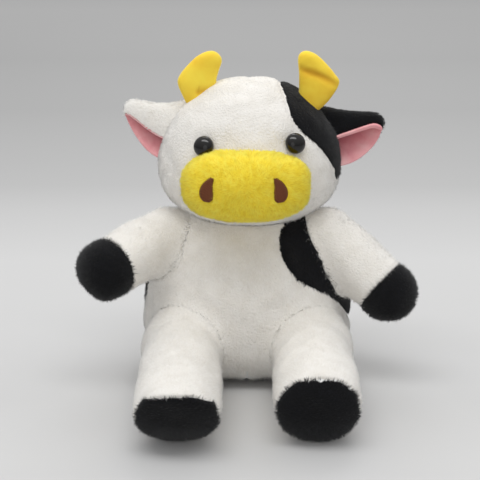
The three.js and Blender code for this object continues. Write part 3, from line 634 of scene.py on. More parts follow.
pileLooks = {
    "body": {"density": 1.0, "length": 2.5, "thickness": 0.3, "tilt": 2.0, "clump": 3.2, "clumping": 0.35,
             "scatter": 0.25, "sink": 0.2, "roundness": 0.05},
    "black": {"density": 2.6, "length": 2.9, "thickness": 0.45, "tilt": 1.2, "clump": 3.0, "clumping": 0.45,
              "scatter": 0.34, "sink": 0.2, "roundness": 0.3},
    "fleece": {"density": 4.0, "length": 2.5, "thickness": 0.36, "tilt": 1.15, "clump": 3.4, "clumping": 0.8,
               "scatter": 0.3, "sink": 0.2, "roundness": 0.25},
    "ear": {"density": 2.8, "length": 2.0, "thickness": 0.4, "tilt": 1.7, "clump": 3.0, "clumping": 0.3,
            "scatter": 0.25, "sink": 0.2, "roundness": 0.05},
}


eggSizes = {  # outer sizes; each centre is at the widest height
    "torso": {"halfWidth": 63, "halfDepth": 50.5, "upper": 80, "lower": 32.5, "upperPower": 2, "lowerPower": 3.3,
              "centre": (0, 0, 32)},
    "head": {"halfWidth": 53.8, "halfDepth": 45, "upper": 54, "lower": 34, "upperPower": 1.95, "lowerPower": 2.5,
             "centre": (1.2, -3, 127)},
    "muzzle": {"halfWidth": 36.8, "halfDepth": 21, "upper": 20, "lower": 20, "upperPower": 2.6, "lowerPower": 2.6,
               "centre": (-0.9, -47, 126)},
}


def grown(egg, by):
    return {**egg, **{key: egg[key] + by for key in ("halfWidth", "halfDepth", "upper", "lower")}}


def skinEgg(name):
    egg = grown(eggSizes[name], -skinInset)
    return {**egg, "centre": np.array(egg["centre"], float)}


torsoEgg, headEgg, muzzleEgg = (skinEgg(name) for name in ("torso", "head", "muzzle"))


# Arms and legs: a ball that turns in the torso, a tube that swells a little, and a round end

arm = {"root": 17.4, "waist": 17.0, "swell": 1.2, "end": 16.9, "endRound": 16, "endPower": 2.0, "length": 66,
       "wrist": 45, "comb": -0.5, "seam": 4, "turns": {"left": 42, "right": 59}, "drops": {"left": 11, "right": 35}}
leg = {"root": 25, "waist": 22.5, "swell": 0.6, "end": 24.3, "endRound": 10, "endPower": 2.3,
       "lengths": {"left": 99, "right": 92}, "sole": 22.2, "soleDrop": 2.2, "soleDepth": 12,
       "soleTops": {"left": (2.8, 1.0), "right": (2.4, 1.02)}, "comb": -0.7, "seam": 3,
       "squash": {"left": 0.86, "right": 0.94}, "tilts": {"left": 34, "right": 16}}


def armOf(side):
    turn, drop = math.radians(arm["turns"][side]), math.radians(arm["drops"][side])
    way = Vector((sides[side] * math.sin(turn) * math.cos(drop), -math.cos(turn) * math.cos(drop), -math.sin(drop)))
    return {**arm, "tilt": 0.0, "keep": 1.0, "way": way, "centre": pivots["arm_" + side]}


def legOf(side):
    return {**leg, "length": leg["lengths"][side], "soleTop": leg["soleTops"][side], "keep": leg["squash"][side],
            "tilt": math.radians(leg["tilts"][side]), "way": Vector((0, -1, 0)), "centre": pivots["leg_" + side]}


def limbRadius(limb, height, inset=0.0):
    root, waist, end = (limb[key] - inset for key in ("root", "waist", "end"))
    tubeStart = math.sqrt(max(root ** 2 - waist ** 2, 0))
    tubeEnd = limb["length"] - limb["endRound"]
    share = np.clip((height - tubeStart) / (tubeEnd - tubeStart), 0, 1)
    tube = waist + (end - waist) * share + limb["swell"] * np.sin(math.pi * share)
    ball = np.sqrt(np.maximum(root ** 2 - height ** 2, 0))
    into = np.clip((height - tubeEnd) / (limb["endRound"] - inset), 0, 1)
    cap = end * (1 - into ** limb["endPower"]) ** (1 / limb["endPower"])
    return np.where(height < tubeStart, ball, np.where(height < tubeEnd, tube, cap))


# Towards its end the limb sinks to the floor under it, and its end leans forward at the top.
def lean(limb, points):
    along = np.clip(points[:, 2] / (limb["length"] - limb["endRound"]), 0, 1) ** 2
    made = points.copy()
    made[:, 2] += points[:, 1] * math.tan(limb["tilt"]) * along
    made[:, 1] = (points[:, 1] + limb["root"]) * (1 - (1 - limb["keep"]) * along) - limb["root"]
    return made


def limbTurn(limb):
    turn = Vector((0, 0, 1)).rotation_difference(limb["way"]).to_matrix()
    return np.array(turn)


def placeLimb(limb, points):
    return lean(limb, points) @ limbTurn(limb).T + limb["centre"]


def limbGap(limb, points):
    local = (points - limb["centre"]) @ limbTurn(limb)
    along = np.clip(local[:, 2] / (limb["length"] - limb["endRound"]), 0, 1) ** 2
    up = (local[:, 1] + limb["root"]) / (1 - (1 - limb["keep"]) * along) - limb["root"]
    height = local[:, 2] - up * math.tan(limb["tilt"]) * along
    radius = limbRadius(limb, height, skinInset)
    flat = np.hypot(local[:, 0], up) - radius
    ball = np.linalg.norm(local, axis=1) - (limb["root"] - skinInset)
    return np.where(height < 0, ball, np.where(height > limb["length"], height - limb["length"], flat))


limbGrid = {"spacing": 1.4, "segments": 88, "roundRows": 22}
limbs = {f"{kind}_{side}": make(side) for kind, make in (("arm", armOf), ("leg", legOf)) for side in sides}
join = {"soften": {"arm": 14, "leg": 11}, "reach": 1.4, "rounds": 5, "sink": 0.1, "sinkWidth": 3.2, "stretch": 20}


# Where two stuffed forms are sewn together the cloth runs from one to the other in a hollow curve,
# and each dips under the other just past the seam.
def softJoin(points, own, others):
    made, sunk = points.copy(), np.zeros(len(points))
    for other, soften in others:
        reach = np.abs(other(made))
        near = reach < soften * join["reach"]
        keep = np.clip((join["reach"] - reach[near] / soften) / 0.6, 0, 1)[:, None]
        keep = keep * keep * (3 - 2 * keep)
        spot = made[near]
        for _ in range(join["rounds"]):
            gaps, slopes = [], []
            for gap in (own, other):
                here = gap(spot)
                gaps.append(here)
                slopes.append(np.stack([gap(spot + 0.05 * way) - here for way in np.eye(3)], 1) / 0.05)
            close = np.maximum(soften - np.abs(gaps[0] - gaps[1]), 0) / soften
            field = np.minimum(gaps[0], gaps[1]) - close ** 2 * soften / 4
            share = np.clip(0.5 + (gaps[1] - gaps[0]) / (2 * soften), 0, 1)[:, None]
            slope = slopes[0] * share + slopes[1] * (1 - share)
            spot = spot - slope * (field / np.maximum((slope ** 2).sum(1), 0.1))[:, None]
        ahead = gaps[1] - gaps[0]
        hold = np.clip((ahead + 9) / 4, 0, 1)[:, None]
        made[near] += (spot - made[near]) * hold * keep
        dip = join["sink"] * np.clip(0.5 - ahead / (2 * join["sinkWidth"]), 0, 1) * keep[:, 0]
        sunk[near] = np.maximum(sunk[near], dip)
    return made, sunk


def stretchSeam(limb):
    outward = eggNormal(torsoEgg, limb["centre"])
    start = limb["centre"] + outward * limb["seam"]
    return start * mm, (start + outward * join["stretch"]) * mm


def limbSurface(limb):
    root, end = limb["root"] - skinInset, limb["length"] - skinInset
    tubeEnd = limb["length"] - limb["endRound"]
    ballAngles = np.linspace(math.pi, math.pi / 2, limbGrid["roundRows"])
    capAngles = np.linspace(0, math.pi / 2, limbGrid["roundRows"])
    heights = np.concatenate([
        root * np.cos(ballAngles[:-1]),
        np.linspace(0, tubeEnd, int(tubeEnd / limbGrid["spacing"])),
        tubeEnd + (end - tubeEnd) * np.sin(capAngles[1:]),
    ])
    return turnedForm(limbRadius(limb, heights, skinInset), heights, limbGrid["segments"])


# Torso

torso = {"lump": 0.75, "lumpSize": 27, "seamDepth": 1.0, "seamWidth": 1.2, "tailPocket": 5.4, "pocketGap": 0.7,
         "headGap": 1.0, "neckFrom": 60, "floor": 0.2, "bareBelow": 0.9, "frontSeam": 0.45, "frontFrom": 20}
sidePatchShares = [
    (0.5, 0.9), (0.38, 0.83), (0.31, 0.75), (0.31, 0.65), (0.37, 0.54), (0.5, 0.42), (0.66, 0.34), (0.82, 0.26),
    (0.92, 0.14), (0.99, 0.03), (1.06, -0.08), (1.3, -0.08), (1.3, 1.0), (0.8, 1.05),
]
sidePatchBack = 25
backPatch = {"angle": 30, "height": 58, "radius": 30, "across": 63, "along": 50}
panel = {"lift": 0.3, "depth": 1.0}  # patches are let into the cloth and stand a little proud of it
bareMargin = 1.2  # pile grows this far past a joint's crease
hiddenDepth = 0.5  # and this deep into another form


def outlineOf(egg, shares, steps=5):
    corners = [(egg["centre"][0] + x * egg["halfWidth"], egg["centre"][2] + z * egg["upper"]) for x, z in shares]
    return curveThrough(corners, steps)


sidePatchLine = outlineOf(torsoEgg, sidePatchShares)
backPatchCentre = np.array([
    -backPatch["across"] * math.cos(math.radians(backPatch["angle"])),
    backPatch["along"] * math.sin(math.radians(backPatch["angle"])), backPatch["height"],
])


# A groove where two pieces of cloth are sewn together, 1 at its bottom
def seamGroove(distance, width):
    return np.exp(-((distance / width) ** 2))


def onSidePatch(points):
    return insideOutline(points[:, [0, 2]], sidePatchLine) & (points[:, 1] < sidePatchBack)


def onBackPatch(points):
    return np.linalg.norm(points - backPatchCentre, axis=1) < backPatch["radius"]


# A round hollow for the root of the tail
def pressPocket(points, centre, radius, egg):
    outward = eggNormal(egg, centre)
    offset = points - centre
    height = offset @ outward
    flat = offset - height[:, None] * outward
    reach = np.linalg.norm(flat, axis=1)
    within = np.linalg.norm(offset, axis=1) < radius
    made = points.copy()
    depth = -np.sqrt(np.maximum(radius ** 2 - reach ** 2, 0))
    made[within] = centre + flat[within] + depth[within, None] * outward
    return made


# How high the torso may come under the head
def underHead(points, gap):
    flat = np.hypot((points[:, 0] - headEgg["centre"][0]) / headEgg["halfWidth"],
                    (points[:, 1] - headEgg["centre"][1]) / headEgg["halfDepth"])
    rise = np.maximum(1 - np.minimum(flat, 1) ** headEgg["lowerPower"], 0) ** (1 / headEgg["lowerPower"])
    return headEgg["centre"][2] - headEgg["lower"] * rise - gap


def torsoDip(points):
    width = torso["seamWidth"]
    front = seamGroove(points[:, 0], width) * (np.abs(points[:, 1]) > torso["frontFrom"])
    side = seamGroove(distanceToLine(points[:, [0, 2]], sidePatchLine), width) * (points[:, 1] < sidePatchBack)
    ring = np.abs(np.linalg.norm(points - backPatchCentre, axis=1) - backPatch["radius"])
    return torso["seamDepth"] * np.maximum(np.maximum(torso["frontSeam"] * front, side), seamGroove(ring, width))


# Lumps of two sizes, as the filling of a large form makes them
def twoLumps(points, look, seed):
    large = look["lump"] * lumps(points, look["lumpSize"], seed)
    return large + 0.4 * look["lump"] * lumps(points, look["lumpSize"] / 2, seed + 1)


def torsoSkin():
    points, faces = eggPoints(torsoEgg, 7)
    normals = vertexNormals(points, faces)
    points = points + normals * (twoLumps(points, torso, 3) - torsoDip(points))[:, None]
    others = [(lambda p, limb=limb: limbGap(limb, p), join["soften"][name[:3]]) for name, limb in limbs.items()]
    points, sunk = softJoin(points, lambda p: eggGap(torsoEgg, p), others)
    points = pressPocket(points, pivots["tail"], torso["tailPocket"] + torso["pocketGap"], torsoEgg)
    ceiling = np.where(points[:, 2] > torso["neckFrom"], underHead(points, torso["headGap"]), np.inf)
    points[:, 2] = np.clip(points[:, 2], torso["floor"], ceiling)
    normals = vertexNormals(points, faces)
    return points - normals * sunk[:, None], faces, normals


# No pile grows under the head, on the seat, inside a limb or round the tail's root.
def torsoBare(points):
    bare = points[:, 2] > underHead(points, torso["headGap"] + 1.5)
    bare &= points[:, 2] > torso["neckFrom"]
    bare |= points[:, 2] < torso["bareBelow"]
    for limb in limbs.values():
        bare |= limbGap(limb, points) < eggGap(torsoEgg, points) - bareMargin
    return bare | (np.linalg.norm(points - pivots["tail"], axis=1) < torso["tailPocket"] - 0.2)


# Brushed down, and parted a little along the seam in front
def torsoBrush(points, outward):
    way = brushedDown(points, outward)
    way[:, 0] += np.sign(points[:, 0]) * 0.4 * seamGroove(points[:, 0], 2.5)
    return way


# A black panel on a skin, as a thin closed layer with its own pile
def makePatch(name, node, body, skins, chosen, brush, bare, seed, reach=None):
    points, faces, normals = skins
    points, faces, used = keepFaces(points, faces, chosen)
    normals = normals[used]
    raised = points + normals * panel["lift"]
    closed, closedFaces = thicken(raised, faces, normals, panel["depth"])
    settle(makeMesh(name, closed, closedFaces, "blackBacking"), body, [node])
    pile = growPile(name + "Pile", (raised, faces, normals), pileLooks["black"], "blackPile", brush, bare, seed, reach)
    settle(pile, body)


def makeTorso():
    skins = torsoSkin()
    points, faces, normals = skins
    skin = makeMesh("torsoSkin", points, faces, "whiteBacking", normals)
    settle(skin, "torso", ["torso_cover"])
    bare = lambda p: torsoBare(p) | onSidePatch(p) | onBackPatch(p)
    settle(growPile("torsoPile", skins, pileLooks["body"], "whitePile", torsoBrush, bare, 5), "torso")
    middles = points[faces].mean(1)
    for where, chosen in (("side", onSidePatch), ("back", onBackPatch)):
        makePatch(f"torso{where.title()}Patch", f"torso_{where}_patch", "torso", skins, chosen(middles), torsoBrush,
                  torsoBare, 7)


# Head

head = {"lump": 0.6, "lumpSize": 24, "seamDepth": 0.9, "seamWidth": 1.2, "eyeDent": 1.3, "eyeDentWidth": 8,
        "notch": 0.9, "notchWidth": 7, "notchFrom": 158, "notchFade": 20, "patchBack": 17, "bareBelow": 93.6,
        "muzzleDepth": 0.4, "neckDepth": 1.0, "crownFrom": 150, "crownFade": 12, "crownShort": 0.75, "eyeFade": 3,
        "eyeShort": 0.35, "eyeParting": 2.5, "eyePartingWidth": 2}
headPatchShares = [
    (0.38, 1.1), (0.4, 0.82), (0.46, 0.64), (0.56, 0.5), (0.67, 0.4), (0.77, 0.3), (0.86, 0.17), (0.94, 0.02),
    (1, -0.12), (1.4, -0.12), (1.4, 1.2),
]
headPatchLine = outlineOf(headEgg, headPatchShares)
eye = {"spacing": 51.2, "height": 147, "skew": 0.8, "radius": 6, "dome": 4.4, "flange": 1.0, "stand": 0.2,
       "shank": 1.6, "shankLength": 12, "edge": 0.2, "rows": 24, "segments": 64}


def eyePlace(side):
    point = eggFront(headEgg, sides[side] * eye["spacing"] / 2, eye["height"] + sides[side] * eye["skew"])
    return point, eggNormal(headEgg, point)


def eyeDistance(side, points):
    return np.linalg.norm(points - eyePlace(side)[0], axis=1)


def onHeadPatch(points):
    return insideOutline(points[:, [0, 2]], headPatchLine) & (points[:, 1] < head["patchBack"])


def headSkin():
    points, faces = eggPoints(headEgg, 7)
    normals = vertexNormals(points, faces)
    across = points[:, 0] - headEgg["centre"][0]
    behind = np.clip(points[:, 1] / 10, 0, 1)
    dip = head["seamDepth"] * seamGroove(across, head["seamWidth"]) * behind
    onTop = np.clip((points[:, 2] - head["notchFrom"]) / head["notchFade"], 0, 1)
    dip += head["notch"] * seamGroove(across, head["notchWidth"]) * onTop ** 2
    seam = seamGroove(distanceToLine(points[:, [0, 2]], headPatchLine), head["seamWidth"])
    dip = np.maximum(dip, head["seamDepth"] * (seam * (points[:, 1] < head["patchBack"])))
    for side in sides:
        dip = dip + head["eyeDent"] * seamGroove(eyeDistance(side, points), head["eyeDentWidth"])
    points = points + normals * (twoLumps(points, head, 8) - dip)[:, None]
    return points, faces, vertexNormals(points, faces)


def headBare(points):
    bare = (eggGap(muzzleEgg, points) < -head["muzzleDepth"]) | (eggGap(torsoEgg, points) < -head["neckDepth"])
    bare |= points[:, 2] < head["bareBelow"]
    for side in sides:
        bare |= eyeDistance(side, points) < eye["radius"] - 0.2
    return bare


# The pile is shorter on the crown and round the eyes.
def headReach(points):
    short = 1 - head["crownShort"] * np.clip((points[:, 2] - head["crownFrom"]) / head["crownFade"], 0, 1)
    for side in sides:
        away = (eyeDistance(side, points) - eye["radius"]) / head["eyeFade"]
        short *= np.clip(away + head["eyeShort"], head["eyeShort"], 1)
    return short


# Brushed down the face, and away from each eye
def headBrush(points, outward):
    way = evenBrush((0.0, -0.1, -1.0))(points, outward)
    for side in sides:
        away = points - eyePlace(side)[0]
        far = np.linalg.norm(away, axis=1)[:, None]
        near = np.exp(-((far / (eye["radius"] + head["eyePartingWidth"])) ** 4))
        way = way + unit(away) * head["eyeParting"] * near
    return way


def makeHead():
    skins = headSkin()
    points, faces = skins[:2]
    skin = makeMesh("headSkin", points, faces, "whiteBacking")
    settle(skin, "head", ["head_cover"], neckBlend=True)
    bare = lambda p: headBare(p) | onHeadPatch(p)
    pile = growPile("headPile", skins, pileLooks["body"], "whitePile", headBrush, bare, 11, headReach)
    settle(pile, "head", neckBlend=True)
    chosen = onHeadPatch(points[faces].mean(1))
    makePatch("headPatch", "head_patch", "head", skins, chosen, headBrush, headBare, 12, headReach)


# Muzzle and nostrils

muzzle = {"lump": 0.5, "lumpSize": 16, "toneSize": 5, "toneChange": 0.25, "nostrilSpacing": 41.5, "nostrilAside": -1.3,
          "nostrilRise": 1.5, "nostrilWidth": 7.4, "nostrilHeight": 13.6}
nostrilShares = [
    (-0.5, 0.52), (-0.12, 0.42), (0.24, 0.22), (0.45, 0), (0.5, -0.2), (0.38, -0.4), (0.1, -0.5), (-0.25, -0.48),
    (-0.46, -0.36), (-0.5, -0.1), (-0.47, 0.2),
]
stitch = {"spacing": 0.62, "radius": 0.42, "lift": 1.5, "sides": 6, "steps": 9, "slant": 0.25}


def nostrilLine(side):
    middle = np.array([muzzleEgg["centre"][0] + muzzle["nostrilAside"] + sides[side] * muzzle["nostrilSpacing"] / 2,
                       muzzleEgg["centre"][2] + muzzle["nostrilRise"]])
    size = np.array([sides[side] * muzzle["nostrilWidth"], muzzle["nostrilHeight"]])
    return curveThrough(np.array(nostrilShares) * size + middle, 5)


def muzzleBare(points):
    bare = eggGap(headEgg, points) < -hiddenDepth
    for side in sides:
        bare |= insideOutline(points[:, [0, 2]], nostrilLine(side)) & (points[:, 1] < muzzleEgg["centre"][1])
        bare |= eyeDistance(side, points) < eye["radius"] + 0.3
    return bare


# Out from the middle, and back towards the face
def muzzleBrush(points, outward):
    way = points - muzzleEgg["centre"]
    way[:, 1] = 0
    return unit(way) * 0.7 + np.array([0, 0.5, -0.3])


def makeMuzzle():
    points, faces = eggPoints(muzzleEgg, 6)
    normals = vertexNormals(points, faces)
    points = points + normals * (muzzle["lump"] * lumps(points, muzzle["lumpSize"], 14))[:, None]
    skins = (points, faces, vertexNormals(points, faces))
    skin = makeMesh("muzzleSkin", points, faces, "yellowBacking")
    settle(skin, "head", ["muzzle_cover"])
    pile = growPile("muzzlePile", skins, pileLooks["fleece"], "yellowPile", muzzleBrush, muzzleBare, 15,
                    tone=lambda p: muzzle["toneChange"] * lumps(p, muzzle["toneSize"], 16))
    settle(pile, "head")


# A tube along a path, closed at both ends
def tube(path, radii, count):
    along = unit(np.gradient(path, axis=0))
    guide = np.array([0.0, -1, 0])
    side = unit(np.cross(along, guide))
    up = np.cross(side, along)
    angle = np.arange(count) / count * 2 * math.pi
    around = side[:, None] * np.cos(angle)[:, None] + up[:, None] * np.sin(angle)[:, None]
    rings = path[:, None] + radii[:, None, None] * around
    points = np.concatenate([rings.reshape(-1, 3), path[:1], path[-1:]])
    index = np.arange(len(path))[:, None] * count + np.arange(count)
    return points, tubeFaces(index, len(points) - 2, len(points) - 1)


def joinSolids(solids):
    points, faces, start = [], [], 0
    for some, theirs in solids:
        points.append(some)
        faces.append(theirs + start)
        start += len(some)
    return np.concatenate(points), np.concatenate(faces)


def turnedOut(points, faces):
    volume = (points[faces[:, 0]] * np.cross(points[faces[:, 1]], points[faces[:, 2]])).sum()
    return faces if volume > 0 else faces[:, ::-1]


# Satin stitch: close parallel threads, each running from edge to edge of the shape.
def makeNostril(side):
    line = nostrilLine(side)
    stitches = []
    for height in np.arange(line[:, 1].min() + stitch["spacing"], line[:, 1].max(), stitch["spacing"]):
        crossing = []
        for (x1, z1), (x2, z2) in zip(line, np.roll(line, -1, 0)):
            if (z1 > height) != (z2 > height):
                crossing.append(x1 + (x2 - x1) * (height - z1) / (z2 - z1))
        if len(crossing) < 2:
            continue
        share = np.linspace(0, 1, stitch["steps"])
        across = min(crossing) + (max(crossing) - min(crossing)) * share
        rise = height + stitch["slant"] * (share - 0.5) * sides[side]
        raised = stitch["lift"] * np.sqrt(np.clip(1 - (2 * share - 1) ** 4, 0, 1)) + 0.1
        path = np.array([eggFront(grown(muzzleEgg, lift), x - muzzleEgg["centre"][0], z)
                         for x, z, lift in zip(across, rise, raised)])
        solid = tube(path, np.full(len(path), stitch["radius"]), stitch["sides"])
        stitches.append((solid[0], turnedOut(*solid)))
    points, faces = joinSolids(stitches)
    settle(makeMesh(f"nostril{side.title()}", points, faces, "thread"), "head", [f"nostril_{side}"])


# Eyes: a dome on a flange, with a shank through the cloth

def makeEye(side):
    radius, flange, shank, length, edge = (eye[key] for key in ("radius", "flange", "shank", "shankLength", "edge"))
    rise = np.linspace(0, math.pi / 2, eye["rows"])[1:]
    radii = np.array([0, shank - edge / 2, shank, shank, radius - edge, radius, radius, *(radius * np.cos(rise))])
    heights = np.array([-length, -length, edge - length, 0, 0, edge, flange, *(flange + eye["dome"] * np.sin(rise))])
    points, faces = turnedForm(radii, heights, eye["segments"])
    faces = turnedOut(points, faces)
    place, outward = eyePlace(side)
    turn = np.array(Vector((0, 0, 1)).rotation_difference(Vector(outward)).to_matrix())
    points = points @ turn.T + place + outward * eye["stand"]
    settle(makeMesh(f"eye{side.title()}", points, faces, "eye"), "head", [f"eye_{side}"])


# Arms and legs

limbCloth = {"lump": 0.6, "lumpSize": 20, "smoothTo": 20, "seamDepth": 1.0, "seamWidth": 1.1, "floor": 0.25,
             "bareBelow": 0.35, "brushDown": 0.6, "soleWaver": 0.7, "soleWaverSize": 13, "endSpread": 0.3}


# Combed along the limb, and down
def limbBrush(limb):
    return evenBrush(np.array(limb["way"]) * limb["comb"] + np.array([0, 0, -limbCloth["brushDown"]]))


def limbBare(limb):
    def bare(points):
        hidden = eggGap(torsoEgg, points) < limbGap(limb, points) - bareMargin
        hidden |= eggGap(headEgg, points) < -hiddenDepth
        return hidden | (points[:, 2] < limbCloth["bareBelow"])
    return bare


# How far a point is from the sole's middle. The sole reaches the floor, with white pile above and beside it.
def soleFar(limb, local):
    rise = local[:, 1] + limb["soleDrop"]
    power, share = (np.where(rise > 0, top, low) for top, low in zip(limb["soleTop"], (2, 1)))
    far = (np.abs(local[:, 0]) ** power + np.abs(rise / share) ** power) ** (1 / power)
    return far + limbCloth["soleWaver"] * lumps(local, limbCloth["soleWaverSize"], 48)


def makeLimb(kind, side, seed):
    limb = limbs[f"{kind}_{side}"]
    local, faces = limbSurface(limb)
    out = vertexNormals(local, faces)
    if kind == "arm":
        seam = np.abs(local[:, 2] - limb["wrist"])
        isEnd = lambda middle: middle[:, 2] > limb["wrist"]
    else:
        front = limb["length"] - limb["soleDepth"]
        seam = np.maximum(np.abs(soleFar(limb, local) - limb["sole"]), front - local[:, 2])
        isEnd = lambda middle: (soleFar(limb, middle) < limb["sole"]) & (middle[:, 2] > front)
    onTube = np.clip(local[:, 2] / limbCloth["smoothTo"], 0, 1)
    soft = limbCloth["lump"] * lumps(local, limbCloth["lumpSize"], seed) * onTube
    dip = limbCloth["seamDepth"] * seamGroove(seam, limbCloth["seamWidth"])
    points = placeLimb(limb, local + out * (soft - dip)[:, None])
    others = [(lambda p: eggGap(torsoEgg, p), join["soften"][kind])]
    points, sunk = softJoin(points, lambda p: limbGap(limb, p), others)
    points[:, 2] = np.maximum(points[:, 2], limbCloth["floor"])
    normals = vertexNormals(points, faces)
    points = points - normals * sunk[:, None]
    isBlack = isEnd(local[faces].mean(1))
    name, body, bare, stretch = f"{kind}{side.title()}", f"{kind}_{side}", limbBare(limb), stretchSeam(limb)
    skin = makeMesh(f"{name}Skin", points, faces, "whiteBacking", normals)
    settle(skin, body, [f"{kind}_cover_{side}"], seam=stretch)
    some, kept, used = keepFaces(points, faces, ~isBlack)
    white = (some, kept, normals[used])
    pile = growPile(f"{name}Pile", white, pileLooks["body"], "whitePile", limbBrush(limb), bare, seed)
    settle(pile, body, seam=stretch)
    ends, _, used = keepFaces(points, faces, isBlack)
    middle = (ends + normals[used] * panel["lift"]).mean(0)
    spread = lambda p, outward: unit(p - middle) + limbCloth["endSpread"] * np.array(limb["way"])
    endName, endNode = ("paw", "paw_cover_") if kind == "arm" else ("sole", "sole_")
    makePatch(endName + side.title(), endNode + side, body, (points, faces, normals), isBlack, spread, bare, seed + 1)


# Horns: flat cushions of velvet, sewn round the edge and pressed by a fold at the elbow

horn = {"width": 18.5, "height": 24.5, "thickness": 9.0, "forward": 2, "angles": {"left": 32, "right": 40.5},
        "lifts": {"left": -1.5, "right": 5}, "leans": {"left": 7, "right": 5}, "rings": 14, "fullness": 2.3,
        "foldDepths": {"left": 0.7, "right": 1.3}, "foldWidth": 2.2, "bow": 1.5, "trim": 0.3,
        "rootShare": 0.35, "rootShade": 0.55, "foldShade": 0.7}
hornShares = {
    "left": [(0.3, -0.46), (0.62, -0.14), (0.82, 0.16), (0.76, 0.38), (0.58, 0.6), (0.34, 0.83), (0.06, 0.99),
             (-0.2, 1.04), (-0.42, 0.96), (-0.52, 0.8), (-0.45, 0.52), (-0.42, 0.2), (-0.5, -0.4), (-0.1, -0.5)],
    "right": [(0.12, -0.46), (0.52, -0.2), (0.83, 0.16), (0.7, 0.4), (0.5, 0.62), (0.27, 0.83), (0.06, 0.96),
              (-0.17, 1.02), (-0.36, 0.97), (-0.45, 0.82), (-0.45, 0.48), (-0.48, 0.16), (-0.52, -0.4), (-0.1, -0.5)],
}
hornSpineShares = [(-0.05, -0.3), (0.12, 0.1), (0.08, 0.45), (-0.1, 0.8)]
hornFoldShares = {
    "left": [(0.1, 0.02), (-0.2, 0.1), (-0.5, 0.22)],
    "right": [(0.8, 0.1), (0.25, 0.38), (-0.45, 0.62)],
}


# The place on the head's outline at an angle from its top
def headRim(side, angle):
    size, across, rise = eggSizes["head"], math.sin(angle), math.cos(angle)
    power = size["upperPower"]
    reach = ((across / size["halfWidth"]) ** power + (rise / size["upper"]) ** power) ** (-1 / power)
    return headEgg["centre"] + np.array([sides[side] * across * reach, 0, rise * reach])


def sideways(degrees):
    return np.array(Matrix.Rotation(math.radians(degrees), 3, "Y"))


def makeHorn(side):
    size = np.array([horn["width"], horn["height"]])
    outline = curveThrough(np.array(hornShares[side]) * size, 8)
    spine = curveThrough(np.array(hornSpineShares) * size, 12, closed=False)
    nearest = spine[np.argmin(np.linalg.norm(outline[:, None] - spine[None], axis=2), 1)]
    outline = outline + unit(nearest - outline) * horn["trim"]
    count = len(outline)
    fold = curveThrough(np.array(hornFoldShares[side]) * size, 8, closed=False)
    layers, paintedShade = [], []
    for face in (-1, 1):
        for ring in range(0 if face < 0 else 1, horn["rings"] + 1):
            share = ring / horn["rings"]
            flat = outline * (1 - share) + nearest * share
            swell = (1 - (1 - share) ** horn["fullness"]) ** (1 / horn["fullness"])
            depth = face * (horn["thickness"] / 2 * swell)
            groove = seamGroove(distanceToLine(flat, fold, closed=False), horn["foldWidth"])
            crease = horn["foldDepths"][side] * groove * swell
            layers.append(np.stack([flat[:, 0] * sides[side], depth - face * crease, flat[:, 1]], 1))
            # painted shade: darker near the root, where the horn meets the head, and along the fold's crease
            nearRoot = np.clip(horn["rootShare"] - flat[:, 1] / horn["height"], 0, 1)
            inFold = horn["foldShade"] * crease / horn["foldDepths"][side]
            paintedShade.append(np.maximum(inFold, horn["rootShade"] * nearRoot))
    points = np.concatenate(layers)
    paintedShade = np.clip(np.concatenate(paintedShade), 0.02, 0.98)
    front = list(range(horn["rings"] + 1))
    back = [0] + list(range(horn["rings"] + 1, 2 * horn["rings"] + 1))
    faces = []
    for order, flip in ((front, False), (back, True)):
        for low, high in zip(order[:-1], order[1:]):
            a = low * count + np.arange(count)
            b = np.roll(a, -1)
            c, d = b + (high - low) * count, a + (high - low) * count
            rows = gridFaces(a, b, c, d)
            faces.append(rows[:, ::-1] if flip else rows)
    angle = math.radians(horn["angles"][side])
    outward = np.array([sides[side] * math.sin(angle), 0, math.cos(angle)])
    root = headRim(side, angle) + outward * horn["lifts"][side] - np.array([0, horn["forward"], 0])
    points[:, 1] -= horn["bow"] * np.clip(points[:, 2] / horn["height"], 0, 1) ** 2
    points = points @ sideways(-sides[side] * horn["leans"][side]).T + root
    faces = turnedOut(points, np.concatenate(faces))
    piece = makeMesh(f"horn{side.title()}", points, faces, "hornVelvet")
    corner = faces.ravel()
    addMap(piece, np.full(len(corner), 0.5), paintedShade[corner])
    weldPoles(piece)
    settle(piece, "head", [f"horn_{side}"])


# Joins points that lie on each other, where a form's rings run together
def weldPoles(piece):
    work = bmesh.new()
    work.from_mesh(piece.data)
    bmesh.ops.remove_doubles(work, verts=work.verts, dist=0.02 * mm)
    bmesh.ops.recalc_face_normals(work, faces=work.faces)
    work.to_mesh(piece.data)
    work.free()


# Ears: leaves folded over at the top, pile outside and velvet inside

ear = {"lengths": {"left": 38, "right": 42.5}, "backDrop": 34, "flaps": {"left": 19, "right": 17}, "fold": 5.2,
       "foldTaper": 0.5, "bend": 160, "flapPowers": {"left": 0.67, "right": 1.5}, "leafPower": 3,
       "cup": 26, "bulge": 24,
       "tipPowers": {"left": 0.6, "right": 0.45}, "curls": {"left": 60, "right": 190},
       "curlLengths": {"left": 1.6, "right": 6.6}, "sags": {"left": 2.2, "right": 1.2}, "tipRound": 0.14, "tipDrop": 5,
       "pile": 1.8, "lining": 1.3, "gap": 0.1, "sink": 4, "back": 7, "angles": {"left": 48, "right": 52},
       "rises": {"left": 0, "right": -8}, "rows": 44, "columns": 72, "colours": {"left": "white", "right": "black"}}
earStopShares = (0.3, 0.6, 0.85)  # where the fold starts and ends and the edge begins to curl, of the way round
earCupShadeShares = ((0, 0.05, 0.16, 0.2, 0.83, 0.87, 1), (0, 0.12, 0.9, 1, 1, 0.15, 0))  # how much painted shade each part of the lining gets, 0 to 1: most deep in the ear's cup, none at its rims


